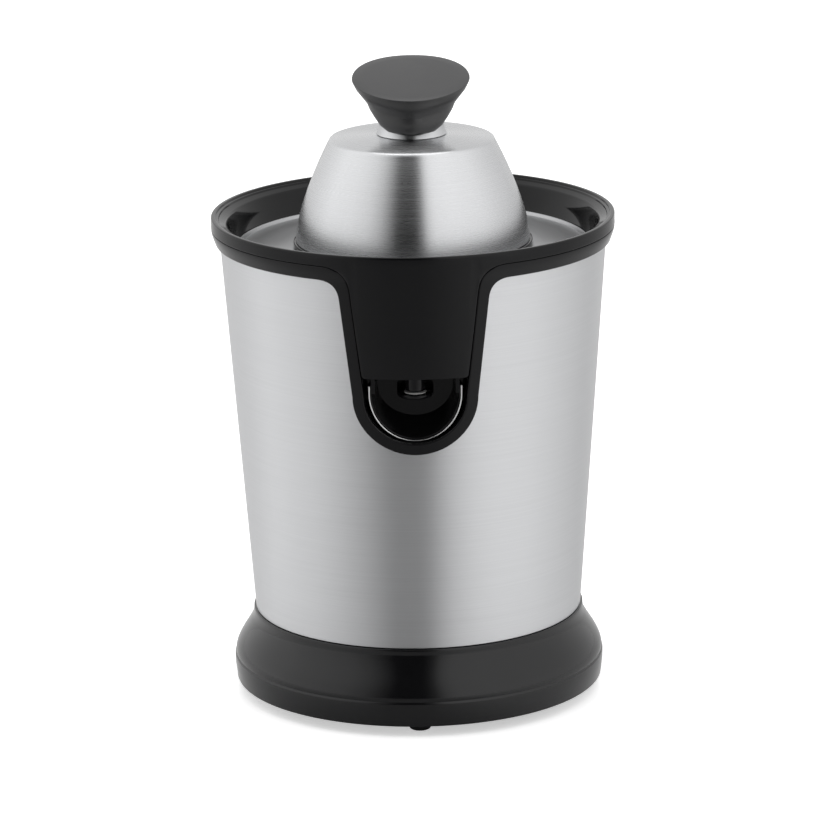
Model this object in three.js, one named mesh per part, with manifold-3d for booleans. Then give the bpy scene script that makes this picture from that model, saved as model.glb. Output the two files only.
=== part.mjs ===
// Citrus press juicer: a brushed steel body on a round black base, a juice bowl with a front bib and a
// tip-out spout, a steel sieve, a driven reamer cone and a hand-pressed steel dome with a palm knob.
// Millimetres, +Z up, front towards -Y, origin on the table under the middle of the base.
import * as THREE from 'three';
import Module from 'manifold-3d';
import { mergeVertices } from 'three/addons/utils/BufferGeometryUtils.js';
import { ConvexGeometry } from 'three/addons/geometries/ConvexGeometry.js';

const wasm = await Module();
wasm.setup();

// ---------------------------------------------------------------- driving dimensions
const gap = 0.3; // between pieces that touch
const round = 32; // facets round the large turned pieces

const footHeight = 5;
const footRadius = 7.5;
const footCircle = 73;
const footCount = 6;

const baseRadius = 87.5; // at the ridge of the skirt
const baseWall = 2.5;
const skirtTop = 17;
const shoulderTop = 31;
const collarTop = 39.5;
const collarWidth = 1.0; // how far the collar stands proud of the steel body
const plateThickness = 3;
const screwCircle = 66;

const steelFoot = 77; // outer radius of the steel body at the collar
const steelHead = 90; // outer radius of the steel body at the trim ring
const steelTop = 216;
const steelWall = 0.8;
const housingWall = 2;
const housingTop = 205.5;
const deckTop = 168.5;
const deckThickness = 3;

const rimRadius = 94;
const trimTop = 222.7;
const trimProud = 1.5; // how far the front frame stands off the steel
const frameCentre = 161.5; // height where the front frame's sides turn into its round bottom
const frameHalf = 28.7; // half width of the frame there
const frameDrop = 27; // from there down to the frame's lowest edge
const frameSpread = 0.115; // how much wider each side gets per mm of height
const frameRim = 5.1; // width of the frame's face
const frameCorner = 9;
const frameLap = 1.7; // how far the frame's face covers the steel's edge
const bibCorner = 12;
const bibBottom = 170.5;
const bibWall = 2.4;
const pocketBack = -58; // rear wall of the spout's pocket
const pocketWall = 1.6;

const rimTop = 228.5;
const bowlWall = 2;
const ledgeHeight = 211.8; // ledge that carries the sieve
const sieveRadius = 82.3;
const sieveSheet = 0.6;
const sieveSlots = 12;
const floorHeight = 183.5; // top of the bowl's floor at the wall
const chimneyRadius = 13.5;
const chimneyTop = 204.5;

const hinge = { y: -80, z: 173.2 }; // axis of the spout, along X
const nozzle = { y: -74, radius: 4.75, tip: 162.2, round: 1.2, bore: 3 };
const lipHalf = 21.3; // half width of the spout's lip
const lipDrop = 22.5;
const lipCentre = 162.5;
const scoopTop = 166.2; // upper edge of the spout's sides
const cup = { y: -72, radius: 8.3, low: 159, high: 161 }; // carries the spout's seal
const lipFront = -80.5; // front plane of the spout's plastic rim
const spoutBack = -62;
const spoutWall = 1.4;
const lipSheet = 0.8;
const pinRadius = 1.2;

const shaftRadius = 4;
const shaftTop = 213.9;
const drive = { module: 1.25, wheel: 40, pinion: 10 }; // second stage of the gear train
const input = { module: 1.0, wheel: 36, pinion: 9 }; // first stage of the gear train
const finalGear = { bottom: 151.5, height: 8 };
const stageGear = { bottom: 140.5, height: 7 };
const motorOffset = 30; // motor axis behind the juicer's axis
const coneRadius = 34;
const coneHeight = 39;
const coneBottom = 216.5;
const coneRibs = 6;

const domeFoot = 55.7; // outer radius of the ring round the dome's bottom edge
const domeSheet = 0.8;
const linerWall = 1.8;
const linerFins = 4;
const domeBottom = 213.5;
const ringHeight = 2.4;
const domeShoulder = 264.5;
const domeTop = 268.5;
const neckRadius = 16.2;
const knobHalf = 27.5;
const knobDepth = 24;
const knobTilt = 12; // degrees that the palm face dips to the front
const knobTop = 293.5;

// ---------------------------------------------------------------- finishes
const finish = (color, roughness, metalness = 0) =>
  new THREE.MeshStandardMaterial({ color, roughness, metalness });
const brushedSteel = finish('#c9c8c6', 0.32, 1);
const blackGloss = finish('#0c0c0e', 0.12);
const blackSatin = finish('#1b1b1d', 0.38);
const knobGrey = finish('#47484a', 0.45);
const rubber = finish('#141414', 0.8);
const silicone = finish('#b9bab8', 0.6);
const whiteNylon = finish('#e6e4dc', 0.5);
const darkIron = finish('#4a4c50', 0.5, 0.8);
const copper = finish('#b4683a', 0.35, 0.9);
const castMetal = finish('#9a9c9f', 0.45, 0.9);
const brass = finish('#c9a552', 0.3, 1);
const screwSteel = finish('#a7a9ab', 0.35, 1);

// ---------------------------------------------------------------- solids and meshes
const group = new THREE.Group();

// A closed three.js geometry as a manifold solid, whichever way its faces point.
function solid(geometry) {
  const bare = geometry.clone();
  bare.deleteAttribute('normal');
  bare.deleteAttribute('uv');
  const merged = mergeVertices(bare, 1e-4);
  const at = merged.getAttribute('position');
  const index = Array.from(merged.index.array);
  const corner = (i) => new THREE.Vector3().fromBufferAttribute(at, i);
  const triangles = [];
  let volume = 0;
  for (let i = 0; i < index.length; i += 3) {
    const [a, b, c] = index.slice(i, i + 3);
    if (a === b || b === c || c === a) continue;
    triangles.push([a, b, c]);
    volume += corner(a).dot(corner(b).cross(corner(c)));
  }
  const ordered = triangles.flatMap(([a, b, c]) => (volume > 0 ? [a, b, c] : [a, c, b]));
  return new wasm.Manifold(new wasm.Mesh({
    numProp: 3,
    vertProperties: new Float32Array(at.array),
    triVerts: new Uint32Array(ordered),
  }));
}

function add(name, shape, material) {
  const data = shape.getMesh();
  const geometry = new THREE.BufferGeometry();
  geometry.setAttribute('position', new THREE.BufferAttribute(new Float32Array(data.vertProperties), 3));
  geometry.setIndex(new THREE.BufferAttribute(new Uint32Array(data.triVerts), 1));
  geometry.computeVertexNormals();
  const mesh = new THREE.Mesh(geometry, material);
  mesh.name = name;
  group.add(mesh);
}

const joined = (...shapes) => shapes.reduce((all, one) => all.add(one));

// A profile of [radius, height] points turned about Z; a profile off the axis closes on itself.
function turned(profile, facets = round) {
  const points = profile.map(([r, z]) => new THREE.Vector2(r, z));
  const offAxis = profile[0][0] > 0 || profile.at(-1)[0] > 0;
  if (offAxis) points.push(points[0].clone());
  return solid(new THREE.LatheGeometry(points, facets).rotateX(Math.PI / 2));
}

function cylinder(r, zLow, zHigh, facets = 16, x = 0, y = 0) {
  return turned([[0, zLow], [r, zLow], [r, zHigh], [0, zHigh]], facets).translate([x, y, 0]);
}

function block(xLow, xHigh, yLow, yHigh, zLow, zHigh) {
  const box = new THREE.BoxGeometry(xHigh - xLow, yHigh - yLow, zHigh - zLow);
  return solid(box.translate((xLow + xHigh) / 2, (yLow + yHigh) / 2, (zLow + zHigh) / 2));
}

// A cylinder lying along X.
function rod(r, xLow, xHigh, y, z, facets = 16) {
  const shape = new THREE.CylinderGeometry(r, r, xHigh - xLow, facets).rotateZ(Math.PI / 2);
  return solid(shape.translate((xLow + xHigh) / 2, y, z));
}

// An outline drawn in X and Z, extruded from yBack to yFront (towards -Y).
function frontCut(outline, yBack, yFront) {
  const shape = new THREE.ExtrudeGeometry(outline, {
    depth: yBack - yFront,
    bevelEnabled: false,
    curveSegments: 6,
  });
  return solid(shape.rotateX(Math.PI / 2).translate(0, yBack, 0));
}

// An outline drawn in X and Y, extruded upwards.
function upright(outline, zLow, zHigh, curveSegments = 8) {
  const shape = new THREE.ExtrudeGeometry(outline, {
    depth: zHigh - zLow,
    bevelEnabled: false,
    curveSegments,
  });
  return solid(shape.translate(0, 0, zLow));
}

// Places of `count` copies round Z: [x, y, angle].
function circle(count, radius, start = 0) {
  return Array.from({ length: count }, (_, i) => {
    const turn = start + (i * 2 * Math.PI) / count;
    return [radius * Math.cos(turn), radius * Math.sin(turn), turn];
  });
}

// ---------------------------------------------------------------- shared outlines
const steelSlope = (steelHead - steelFoot) / (steelTop - collarTop);
const steelAt = (z) => steelFoot + (z - collarTop) * steelSlope;

// The front frame's outline moved in by `inset`, its sides rounded out into the line z = top.
function frameShape(inset, corner, top) {
  const half = (z) => frameHalf - inset + (z - frameCentre) * frameSpread;
  const turn = top - corner;
  const shape = new THREE.Shape();
  const above = top + 30;
  shape.moveTo(-half(top) - corner, above);
  shape.lineTo(-half(top) - corner, top);
  shape.quadraticCurveTo(-half(top), top, -half(turn), turn);
  shape.lineTo(-half(frameCentre), frameCentre);
  shape.absellipse(0, frameCentre, half(frameCentre), frameDrop - inset, Math.PI, 2 * Math.PI, false);
  shape.lineTo(half(turn), turn);
  shape.quadraticCurveTo(half(top), top, half(top) + corner, top);
  shape.lineTo(half(top) + corner, above);
  shape.closePath();
  return shape;
}

// A conical shell that follows the steel body, from `inner` to `outer` mm off its surface.
function bodyShell(inner, outer, zLow, zHigh) {
  return turned([
    [steelAt(zLow) + inner, zLow],
    [steelAt(zLow) + outer, zLow],
    [steelAt(zHigh) + outer, zHigh],
    [steelAt(zHigh) + inner, zHigh],
  ]);
}

// ---------------------------------------------------------------- base
const plateLow = footHeight + 0.6;
const plateHigh = plateLow + plateThickness;
const plateRadius = baseRadius - baseWall - 1.6;
const collarRadius = steelFoot + collarWidth;
const flangeInner = steelFoot - 15;

function baseProfile() {
  const rise = shoulderTop - skirtTop;
  const reach = baseRadius - collarRadius - 1;
  const shoulder = [0, 40, 90].map((degrees) => {
    const turn = THREE.MathUtils.degToRad(degrees);
    return [collarRadius + 1 + reach * Math.cos(turn), skirtTop + rise * Math.sin(turn)];
  });
  const inside = shoulder.slice(0, 2).reverse().map(([r, z]) => [r - baseWall, z - baseWall]);
  return [
    [baseRadius - 1, footHeight],
    [baseRadius, skirtTop - 1],
    ...shoulder,
    [collarRadius, collarTop],
    [flangeInner, collarTop],
    [flangeInner, collarTop - baseWall],
    [collarRadius - baseWall, collarTop - baseWall],
    ...inside,
    [plateRadius + gap, plateHigh + gap],
    [plateRadius + gap, footHeight],
  ];
}

const screwPlaces = circle(3, screwCircle); // between the feet
const glandRadius = 6;
const glandHeight = 16;
const cordRadius = 3.6;
const screwHole = 1.8;

let baseShell = turned(baseProfile());
for (const [x, y] of screwPlaces) {
  const post = cylinder(4, plateHigh + gap, collarTop - 1, 12, x, y);
  baseShell = baseShell.add(post).subtract(cylinder(screwHole, 0, plateHigh + 14, 10, x, y));
}
const gland = new THREE.CylinderGeometry(glandRadius, glandRadius, 20, 24);
add('base_shell', baseShell.subtract(solid(gland.translate(0, baseRadius, glandHeight))), blackGloss);

const alongY = (r, yLow, yHigh, z, facets = 24) =>
  solid(new THREE.CylinderGeometry(r, r, yHigh - yLow, facets).translate(0, (yLow + yHigh) / 2, z));
add('cord_gland', joined(
  alongY(glandRadius + 1.5, baseRadius + gap, baseRadius + 2, glandHeight),
  alongY(glandRadius - gap, baseRadius - 7, baseRadius + 1, glandHeight),
).subtract(alongY(cordRadius, 60, 110, glandHeight, 20)), rubber);

const footPlaces = circle(footCount, footCircle, -Math.PI / 2);
const footStem = 3;
let bottomPlate = cylinder(plateRadius, plateLow, plateHigh, round);
for (const [x, y] of footPlaces) {
  bottomPlate = bottomPlate.subtract(cylinder(footStem + gap, 0, 20, 12, x, y));
}
for (const [x, y] of screwPlaces) {
  bottomPlate = bottomPlate
    .subtract(cylinder(screwHole, 0, 20, 10, x, y))
    .subtract(cylinder(4, 0, plateLow + 1.6, 10, x, y));
}
add('bottom_plate', bottomPlate, blackSatin);

footPlaces.forEach(([x, y], i) => {
  const foot = turned([
    [0, 0],
    [footRadius - 1, 0],
    [footRadius, plateLow - gap],
    [footStem, plateLow - gap],
    [footStem, plateHigh + gap],
    [footStem + 1.2, plateHigh + gap],
    [0, plateHigh + 2],
  ], 12);
  add(`foot_${i + 1}`, foot.translate([x, y, 0]), rubber);
});

// A pan-head screw pointing up, its head on the line z.
function screw(z, length, head = 3.4, thread = 1.5) {
  return turned([[0, z - 1.6], [head - 0.5, z - 1.6], [head, z], [thread, z],
    [thread, z + length], [0, z + length]], 10);
}

screwPlaces.forEach(([x, y], i) => {
  add(`base_screw_${i + 1}`, screw(plateLow + 1.6 - gap / 2, 12).translate([x, y, 0]), screwSteel);
});

// ---------------------------------------------------------------- steel body and inner housing
const steelCut = frontCut(frameShape(frameLap, frameCorner + frameLap, steelTop + frameLap), -40, -110);
add('steel_housing',
  bodyShell(-steelWall, 0, collarTop + gap, steelTop - gap).subtract(steelCut), brushedSteel);

const housingOut = -steelWall - gap;
const housingIn = housingOut - housingWall;
const pocketOuter = frontCut(
  frameShape(frameRim - pocketWall - gap, 2, housingTop), pocketBack + pocketWall + gap, -110);
const bossRadius = 10;
const bossTop = 179.5;
const housing = joined(
  bodyShell(housingIn, housingOut, collarTop + gap, housingTop),
  turned([
    [bossRadius - 3, deckTop - deckThickness],
    [steelAt(deckTop - deckThickness) + housingIn + 1, deckTop - deckThickness],
    [steelAt(deckTop) + housingIn + 1, deckTop],
    [bossRadius, deckTop],
    [bossRadius, bossTop],
    [bossRadius - 3, bossTop],
  ]),
);
const gearScrewCircle = 51.5;
const gearScrews = circle(3, gearScrewCircle, Math.PI / 2);
let innerHousing = housing.subtract(pocketOuter);
for (const [x, y] of gearScrews) {
  innerHousing = innerHousing.subtract(cylinder(screwHole, deckTop - 10, deckTop - 1, 12, x, y));
}
add('inner_housing', innerHousing, blackSatin);

const sealTop = bossTop + 3;
add('shaft_seal', turned([
  [shaftRadius + 0.4, bossTop + gap], [bossRadius, bossTop + gap], [bossRadius, bossTop + 1.3],
  [shaftRadius + 1.6, sealTop], [shaftRadius + 0.4, sealTop],
], 24), silicone);

// ---------------------------------------------------------------- trim ring with its front frame
const ringInner = 88;
const ringNeck = steelAt(steelTop) - steelWall - gap;
const trimRing = turned([
  [steelAt(steelTop) + 0.6, steelTop],
  [rimRadius, trimTop - 1],
  [rimRadius, trimTop],
  [ringInner, trimTop],
  [ringNeck - 1.7, steelTop],
  [ringNeck - 2.2, housingTop + gap],
  [steelAt(housingTop) - steelWall - gap, housingTop + gap],
  [ringNeck, steelTop],
]);
const frameFace = frontCut(frameShape(0, frameCorner, steelTop), -40, -110)
  .intersect(bodyShell(gap, trimProud, 100, trimTop));
const webInset = frameLap + gap;
const webDepth = housingIn - housingOut - steelWall - 1.4;
const frameWeb = frontCut(frameShape(webInset, frameCorner + webInset, steelTop + webInset), -40, -110)
  .intersect(joined(
    bodyShell(webDepth, trimProud, 100, housingTop),
    bodyShell(-2.6, trimProud, housingTop - 0.1, steelTop + 0.5),
  ));
const bibOpening = frontCut(frameShape(frameRim, bibCorner, trimTop), -40, -110)
  .intersect(block(-60, 60, -120, -40, 0, trimTop + 10));
const housingRelief = bodyShell(webDepth - 1, housingOut + gap, collarTop, housingTop)
  .subtract(frontCut(frameShape(frameRim - pocketWall, 2, housingTop), -30, -110));
add('trim_frame',
  joined(trimRing, frameFace, frameWeb).subtract(bibOpening).subtract(housingRelief), blackGloss);

const pocketReach = webDepth - gap - 0.1;
const pocketSolid = frontCut(frameShape(frameRim - pocketWall, 2, housingTop), pocketBack + pocketWall, -110)
  .intersect(turned([[0, 100], [steelAt(100) + pocketReach, 100],
    [steelAt(deckTop) + pocketReach, deckTop], [0, deckTop]]));
const pocketHollow = frontCut(frameShape(frameRim, 2, housingTop), pocketBack, -115);
add('spout_pocket', pocketSolid.subtract(pocketHollow), blackGloss);

// ---------------------------------------------------------------- gears
// Spur gear outline with involute flanks; `slack` thins each tooth at the pitch circle.
function gearShape(teeth, module, slack, bore) {
  const pitch = (teeth * module) / 2;
  const pressure = THREE.MathUtils.degToRad(20);
  const baseCircle = pitch * Math.cos(pressure);
  const tip = pitch + 0.9 * module;
  const root = pitch - 1.2 * module;
  const spread = (r) => Math.sqrt(Math.max((r / baseCircle) ** 2 - 1, 0));
  const involute = (r) => spread(r) - Math.atan(spread(r));
  const halfAt = (r) => Math.PI / (2 * teeth) - slack / (2 * pitch) + involute(pitch) - involute(r);
  const flank = [root, tip];
  const shape = new THREE.Shape();
  for (let i = 0; i < teeth; i += 1) {
    const middle = (i * 2 * Math.PI) / teeth;
    const left = flank.map((r) => [r, middle - halfAt(r)]);
    const right = flank.map((r) => [r, middle + halfAt(r)]).reverse();
    const points = [...left, ...right];
    points.forEach(([r, turn], k) => {
      const place = [r * Math.cos(turn), r * Math.sin(turn)];
      if (i === 0 && k === 0) shape.moveTo(...place);
      else shape.lineTo(...place);
    });
  }
  shape.closePath();
  if (bore) {
    const hole = new THREE.Path();
    hole.absarc(0, 0, bore, 0, 2 * Math.PI, true);
    shape.holes.push(hole);
  }
  return shape;
}

const slack = 0.3;
const driveDistance = (drive.module * (drive.wheel + drive.pinion)) / 2;
const inputDistance = (input.module * (input.wheel + input.pinion)) / 2;
const motor = { x: 0, y: motorOffset };
const stageTurn = Math.PI / 2 - Math.acos(
  (driveDistance ** 2 + motorOffset ** 2 - inputDistance ** 2) / (2 * driveDistance * motorOffset));
const stage = { x: driveDistance * Math.cos(stageTurn), y: driveDistance * Math.sin(stageTurn) };
// Turn a gear at `from` so that a tooth (or, with half, a space) points at `to`.
function facing(from, to, teeth, half) {
  return Math.atan2(to.y - from.y, to.x - from.x) + (half ? Math.PI / teeth : 0);
}
const spun = (shape, angle) => shape.rotate([0, 0, THREE.MathUtils.radToDeg(angle)]);
const centre = { x: 0, y: 0 };

const keyWidth = 3; // half width across the shaft's flats
function keyed(r, zLow, zHigh, clearance) {
  const half = keyWidth + clearance;
  return cylinder(r + clearance, zLow, zHigh, 16).intersect(block(-half, half, -20, 20, zLow, zHigh));
}

const finalTop = finalGear.bottom + finalGear.height;
const finalHub = 7.5;
const wheelShape = gearShape(drive.wheel, drive.module, slack, 0);
const finalBody = joined(
  spun(upright(wheelShape, finalGear.bottom, finalTop), facing(centre, stage, drive.wheel, false)),
  cylinder(finalHub, finalGear.bottom, deckTop - 8, 20),
).subtract(keyed(shaftRadius, 100, 170, 0.15));
add('final_gear', finalBody, whiteNylon);

const pinHole = 2.1;
const stageTop = finalTop + 0.5;
const stageBig = gearShape(input.wheel, input.module, slack, 0);
const stageSmall = gearShape(drive.pinion, drive.module, slack, 0);
const stageBody = joined(
  spun(upright(stageBig, stageGear.bottom, stageGear.bottom + stageGear.height),
    facing(stage, motor, input.wheel, false)),
  spun(upright(stageSmall, stageGear.bottom + 1, stageTop), facing(stage, centre, drive.pinion, true)),
).subtract(cylinder(pinHole, 100, 180, 20));
add('intermediate_gear', stageBody.translate([stage.x, stage.y, 0]), whiteNylon);

const plateFloor = 133.5; // underside of the gearbox plate
const plateCeiling = plateFloor + 3;
const coverTop = deckTop - deckThickness - gap;
add('intermediate_pin', turned([
  [0, plateFloor + 0.5], [2, plateFloor + 0.5], [2, coverTop - 1], [0, coverTop - 1],
], 20).translate([stage.x, stage.y, 0]), screwSteel);

const motorShaft = 2.5;
const rotorEnd = 65.5;
const rotorLow = 77.5;
const rotorHigh = 117.5;
add('rotor_pinion', spun(upright(gearShape(input.pinion, input.module, slack, 0), stageGear.bottom + 0.5,
  stageGear.bottom + stageGear.height + 0.5), facing(motor, stage, input.pinion, true))
  .subtract(cylinder(1.9, 100, 180, 16)).translate([motor.x, motor.y, 0]), brass);
add('motor_rotor', turned([
  [0, rotorEnd], [motorShaft, rotorEnd], [motorShaft, rotorLow], [13, rotorLow], [13, rotorHigh],
  [motorShaft, rotorHigh], [motorShaft, stageGear.bottom - 2], [1.6, stageGear.bottom - 2],
  [1.6, stageGear.bottom + stageGear.height + 0.5], [0, stageGear.bottom + stageGear.height + 0.5],
], 24).translate([motor.x, motor.y, 0]), darkIron);

// ---------------------------------------------------------------- gearbox shells and motor
const switchTop = 115.5;
const switchBack = -16;
const boxRadius = 56;
const boxWall = 2.4;
const boxFront = pocketBack + pocketWall + 3; // cut flat to clear the spout's pocket
const bearingRadius = 7.9;
const stackHalf = 25; // half width of the motor's square stack of laminations
const stackLow = 81.5;
const stackHigh = 113.5;
// A round outline with a flat front, moved in by `inset`.
function boxShape(inset) {
  const r = boxRadius - inset;
  const turn = Math.asin(-(boxFront + inset) / r);
  return new THREE.Shape().absarc(0, 0, r, -turn, Math.PI + turn, false);
}
let coverBody = upright(boxShape(0), plateCeiling + gap, coverTop, 18)
  .subtract(upright(boxShape(boxWall), plateCeiling, coverTop - boxWall, 18))
  .subtract(cylinder(bearingRadius, 140, 180, 20))
  .subtract(cylinder(pinHole + 0.2, 140, 180, 20, stage.x, stage.y));
let gearPlate = upright(boxShape(0), plateFloor, plateCeiling, 18)
  .subtract(cylinder(7, 100, 180, 20, motor.x, motor.y))
  .subtract(cylinder(shaftRadius + 0.5, 100, 180, 20))
  .subtract(cylinder(pinHole + 0.2, 100, 180, 20, stage.x, stage.y));
const bolts = [[-stackHalf + 4, stackHalf - 4], [stackHalf - 4, -stackHalf + 4]];
for (const [x, y] of bolts) {
  gearPlate = gearPlate.subtract(cylinder(screwHole, 100, 180, 10, x + motor.x, y + motor.y));
}
for (const [x, y] of gearScrews) {
  const post = cylinder(4, plateCeiling + gap, coverTop, 10, x, y);
  coverBody = coverBody.add(post).subtract(cylinder(screwHole, 100, 180, 10, x, y));
  gearPlate = gearPlate.subtract(cylinder(screwHole, 100, 180, 10, x, y));
}
add('gearbox_cover', coverBody, blackSatin);
const switchArm = block(-5, 5, switchBack - 3.2, switchBack - gap, switchTop - 10, plateFloor + 1);
add('gearbox_plate', gearPlate.add(switchArm), castMetal);
gearScrews.forEach(([x, y], i) => {
  add(`gearbox_screw_${i + 1}`, screw(plateFloor - gap, 33).translate([x, y, 0]), screwSteel);
});

add('shaft_bearing', turned([
  [finalHub - 3.1, deckTop - 8 + gap], [bearingRadius - gap, deckTop - 8 + gap],
  [bearingRadius - gap, coverTop], [shaftRadius + 0.3, coverTop], [shaftRadius + 0.3, deckTop - 8 + gap],
], 20), brass);

const stator = block(-stackHalf, stackHalf, -stackHalf, stackHalf, stackLow, stackHigh)
  .subtract(cylinder(13.6, 50, 120, 32))
  .subtract(block(-22, -15, -13, 13, 50, 120))
  .subtract(block(15, 22, -13, 13, 50, 120));
const cutBolts = (shape, r) => bolts.reduce(
  (rest, [x, y]) => rest.subtract(cylinder(r, 40, 140, 10, x, y)), shape);
const atMotor = (shape) => shape.translate([motor.x, motor.y, 0]);
add('motor_stator', atMotor(cutBolts(stator, screwHole)), darkIron);

[-1, 1].forEach((side, i) => {
  const near = 15 + gap;
  const far = 22 - gap;
  const xs = side > 0 ? [near, stackHalf + 6] : [-stackHalf - 6, -near];
  const slot = side > 0 ? [far, stackHalf + gap] : [-stackHalf - gap, -far];
  const coil = block(...xs, -13 + gap, 13 - gap, stackLow - 6, stackHigh + 6)
    .subtract(block(...slot, -20, 20, stackLow - gap, stackHigh + gap));
  add(`motor_coil_${i + 1}`, atMotor(coil), copper);
});

function bracket(zLow, zHigh, boreLow) {
  const half = stackHalf - 0.5;
  const bar = block(-5, 5, -half, half, zLow, zHigh)
    .add(block(-half, 5, half - 7.5, half, zLow, zHigh))
    .add(block(-5, half, -half, -half + 7.5, zLow, zHigh))
    .add(cylinder(7, boreLow, boreLow + 8, 16))
    .subtract(cylinder(motorShaft + 0.2, 40, 140, 16));
  return atMotor(cutBolts(bar, screwHole));
}
// The bars stand off the stack on the bolt spacers.
function spacers(shape, zLow, zHigh) {
  return bolts.reduce((all, [x, y]) => all
    .add(cylinder(3.4, zLow, zHigh, 10, x + motor.x, y + motor.y))
    .subtract(cylinder(screwHole, 40, 140, 10, x + motor.x, y + motor.y)), shape);
}
const lowerBar = 68.5;
const upperBar = 123.5;
add('motor_bracket_lower',
  spacers(bracket(lowerBar, lowerBar + 3, lowerBar - 1), lowerBar + 2, stackLow - gap), castMetal);
add('motor_bracket_upper',
  spacers(bracket(upperBar, upperBar + 3, upperBar - 1), stackHigh + gap, plateFloor - gap), castMetal);
bolts.forEach(([x, y], i) => {
  add(`motor_screw_${i + 1}`, screw(lowerBar - gap, 68).translate([x + motor.x, y + motor.y, 0]), screwSteel);
});

// ---------------------------------------------------------------- drive shaft, spring and switch
const shaftLow = 125.5;
const clipLow = finalGear.bottom - gap - 0.7;
const clipGroove = shaftRadius - 1.3;
add('drive_shaft', joined(
  keyed(shaftRadius, shaftLow, shaftTop, 0),
  turned([[0, shaftLow - 2], [1.5, shaftLow - 2], [2.6, shaftLow + 0.1], [0, shaftLow + 0.1]], 16),
).subtract(turned([[clipGroove, clipLow - 0.1], [8, clipLow - 0.1], [8, clipLow + 0.8],
  [clipGroove, clipLow + 0.8]], 24)), screwSteel);
add('shaft_clip', turned([[clipGroove + gap, clipLow], [6, clipLow], [6, clipLow + 0.7],
  [clipGroove + gap, clipLow + 0.7]], 24)
  .subtract(block(0, 10, -2, 2, clipLow - 1, clipLow + 2)), screwSteel);

const springLow = plateCeiling + gap;
const springHigh = clipLow - gap;
const coilRadius = 5.6;
const springWire = 0.6;
const springTurns = 4;
class Helix extends THREE.Curve {
  getPoint(t, target = new THREE.Vector3()) {
    const turn = t * 2 * Math.PI * springTurns;
    const z = springLow + springWire + t * (springHigh - springLow - 2 * springWire);
    return target.set(coilRadius * Math.cos(turn), coilRadius * Math.sin(turn), z);
  }
}
const wire = new THREE.Shape().absarc(0, 0, springWire, 0, 2 * Math.PI, false);
add('return_spring', solid(new THREE.ExtrudeGeometry(wire, {
  steps: 28, bevelEnabled: false, curveSegments: 2, extrudePath: new Helix(),
})), screwSteel);

add('micro_switch', block(-5, 5, switchBack, 4, switchTop - 10, switchTop)
  .subtract(block(-1.7, 1.7, -1.7, 1.7, switchTop - 6, switchTop + 1)), blackSatin);
add('switch_button', joined(
  block(-1.4, 1.4, -1.4, 1.4, switchTop - 2.5, switchTop + 6),
  cylinder(3, switchTop + 5, shaftLow - 2 - gap, 16),
), whiteNylon);

// ---------------------------------------------------------------- juice bowl
const bowlOuter = [
  [rimRadius, trimTop + gap],
  [rimRadius, rimTop - 0.5],
  [rimRadius - 0.5, rimTop],
  [rimRadius - 2.1, rimTop],
  [rimRadius - 3.7, rimTop - 1.8],
  [rimRadius - 7.3, rimTop - 3.2],
  [rimRadius - 9.8, rimTop - 12],
  [sieveRadius + 0.5, ledgeHeight + 2.2],
  [sieveRadius + 0.5, ledgeHeight],
  [sieveRadius - 2.6, ledgeHeight],
  [sieveRadius - 5, floorHeight],
  [chimneyRadius, floorHeight - 1],
  [chimneyRadius, chimneyTop],
  [chimneyRadius - bowlWall, chimneyTop],
  [chimneyRadius - bowlWall, floorHeight - 1 - bowlWall],
  [sieveRadius - 3, floorHeight - bowlWall],
  [sieveRadius - 0.4, ledgeHeight - 4],
  [sieveRadius + 2.2, ledgeHeight + 0.2],
  [rimRadius - 7.7, rimTop - 12],
  [rimRadius - 6.6, rimTop - 7],
  [rimRadius - 6.6, trimTop + gap],
];
const bibOut = trimProud;
const bibShape = frameShape(frameRim + gap, bibCorner + gap, trimTop + gap);
const bibRing = turned([
  [steelAt(bibBottom) + bibOut - bibWall, bibBottom],
  [steelAt(bibBottom) + bibOut, bibBottom],
  [steelAt(steelTop - 6) + bibOut, steelTop - 6],
  [steelAt(steelTop) + bibOut + 0.5, steelTop],
  [rimRadius - 0.6, trimTop - 1],
  [rimRadius, trimTop + 1],
  [rimRadius, trimTop + 2],
  [rimRadius - 5, trimTop + 2],
  [steelAt(steelTop) + bibOut - bibWall, steelTop],
]);
const bib = bibRing.intersect(frontCut(bibShape, -40, -110));
const earEye = 3;
const ears = [-1, 1].map((side) => {
  const xs = side > 0 ? [15.6, 17.9] : [-17.9, -15.6];
  return block(...xs, hinge.y - 4.6, hinge.y + 8, hinge.z, floorHeight - 0.5)
    .add(rod(earEye, ...xs, hinge.y, hinge.z, 20))
    .subtract(rod(pinRadius + gap, -30, 30, hinge.y, hinge.z, 16));
});
const outlet = turned([
  [0, nozzle.tip],
  [nozzle.radius - nozzle.round, nozzle.tip],
  [nozzle.radius - nozzle.round * 0.3, nozzle.tip + nozzle.round * 0.3],
  [nozzle.radius, nozzle.tip + nozzle.round],
  [nozzle.radius, floorHeight - 0.5],
  [0, floorHeight - 0.5],
], 24).translate([0, nozzle.y, 0]);
const bowl = joined(turned(bowlOuter), bib, outlet, ...ears)
  .subtract(cylinder(nozzle.bore, nozzle.tip - 2, floorHeight + 6, 20, 0, nozzle.y));
add('juice_bowl', bowl, blackGloss);

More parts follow.
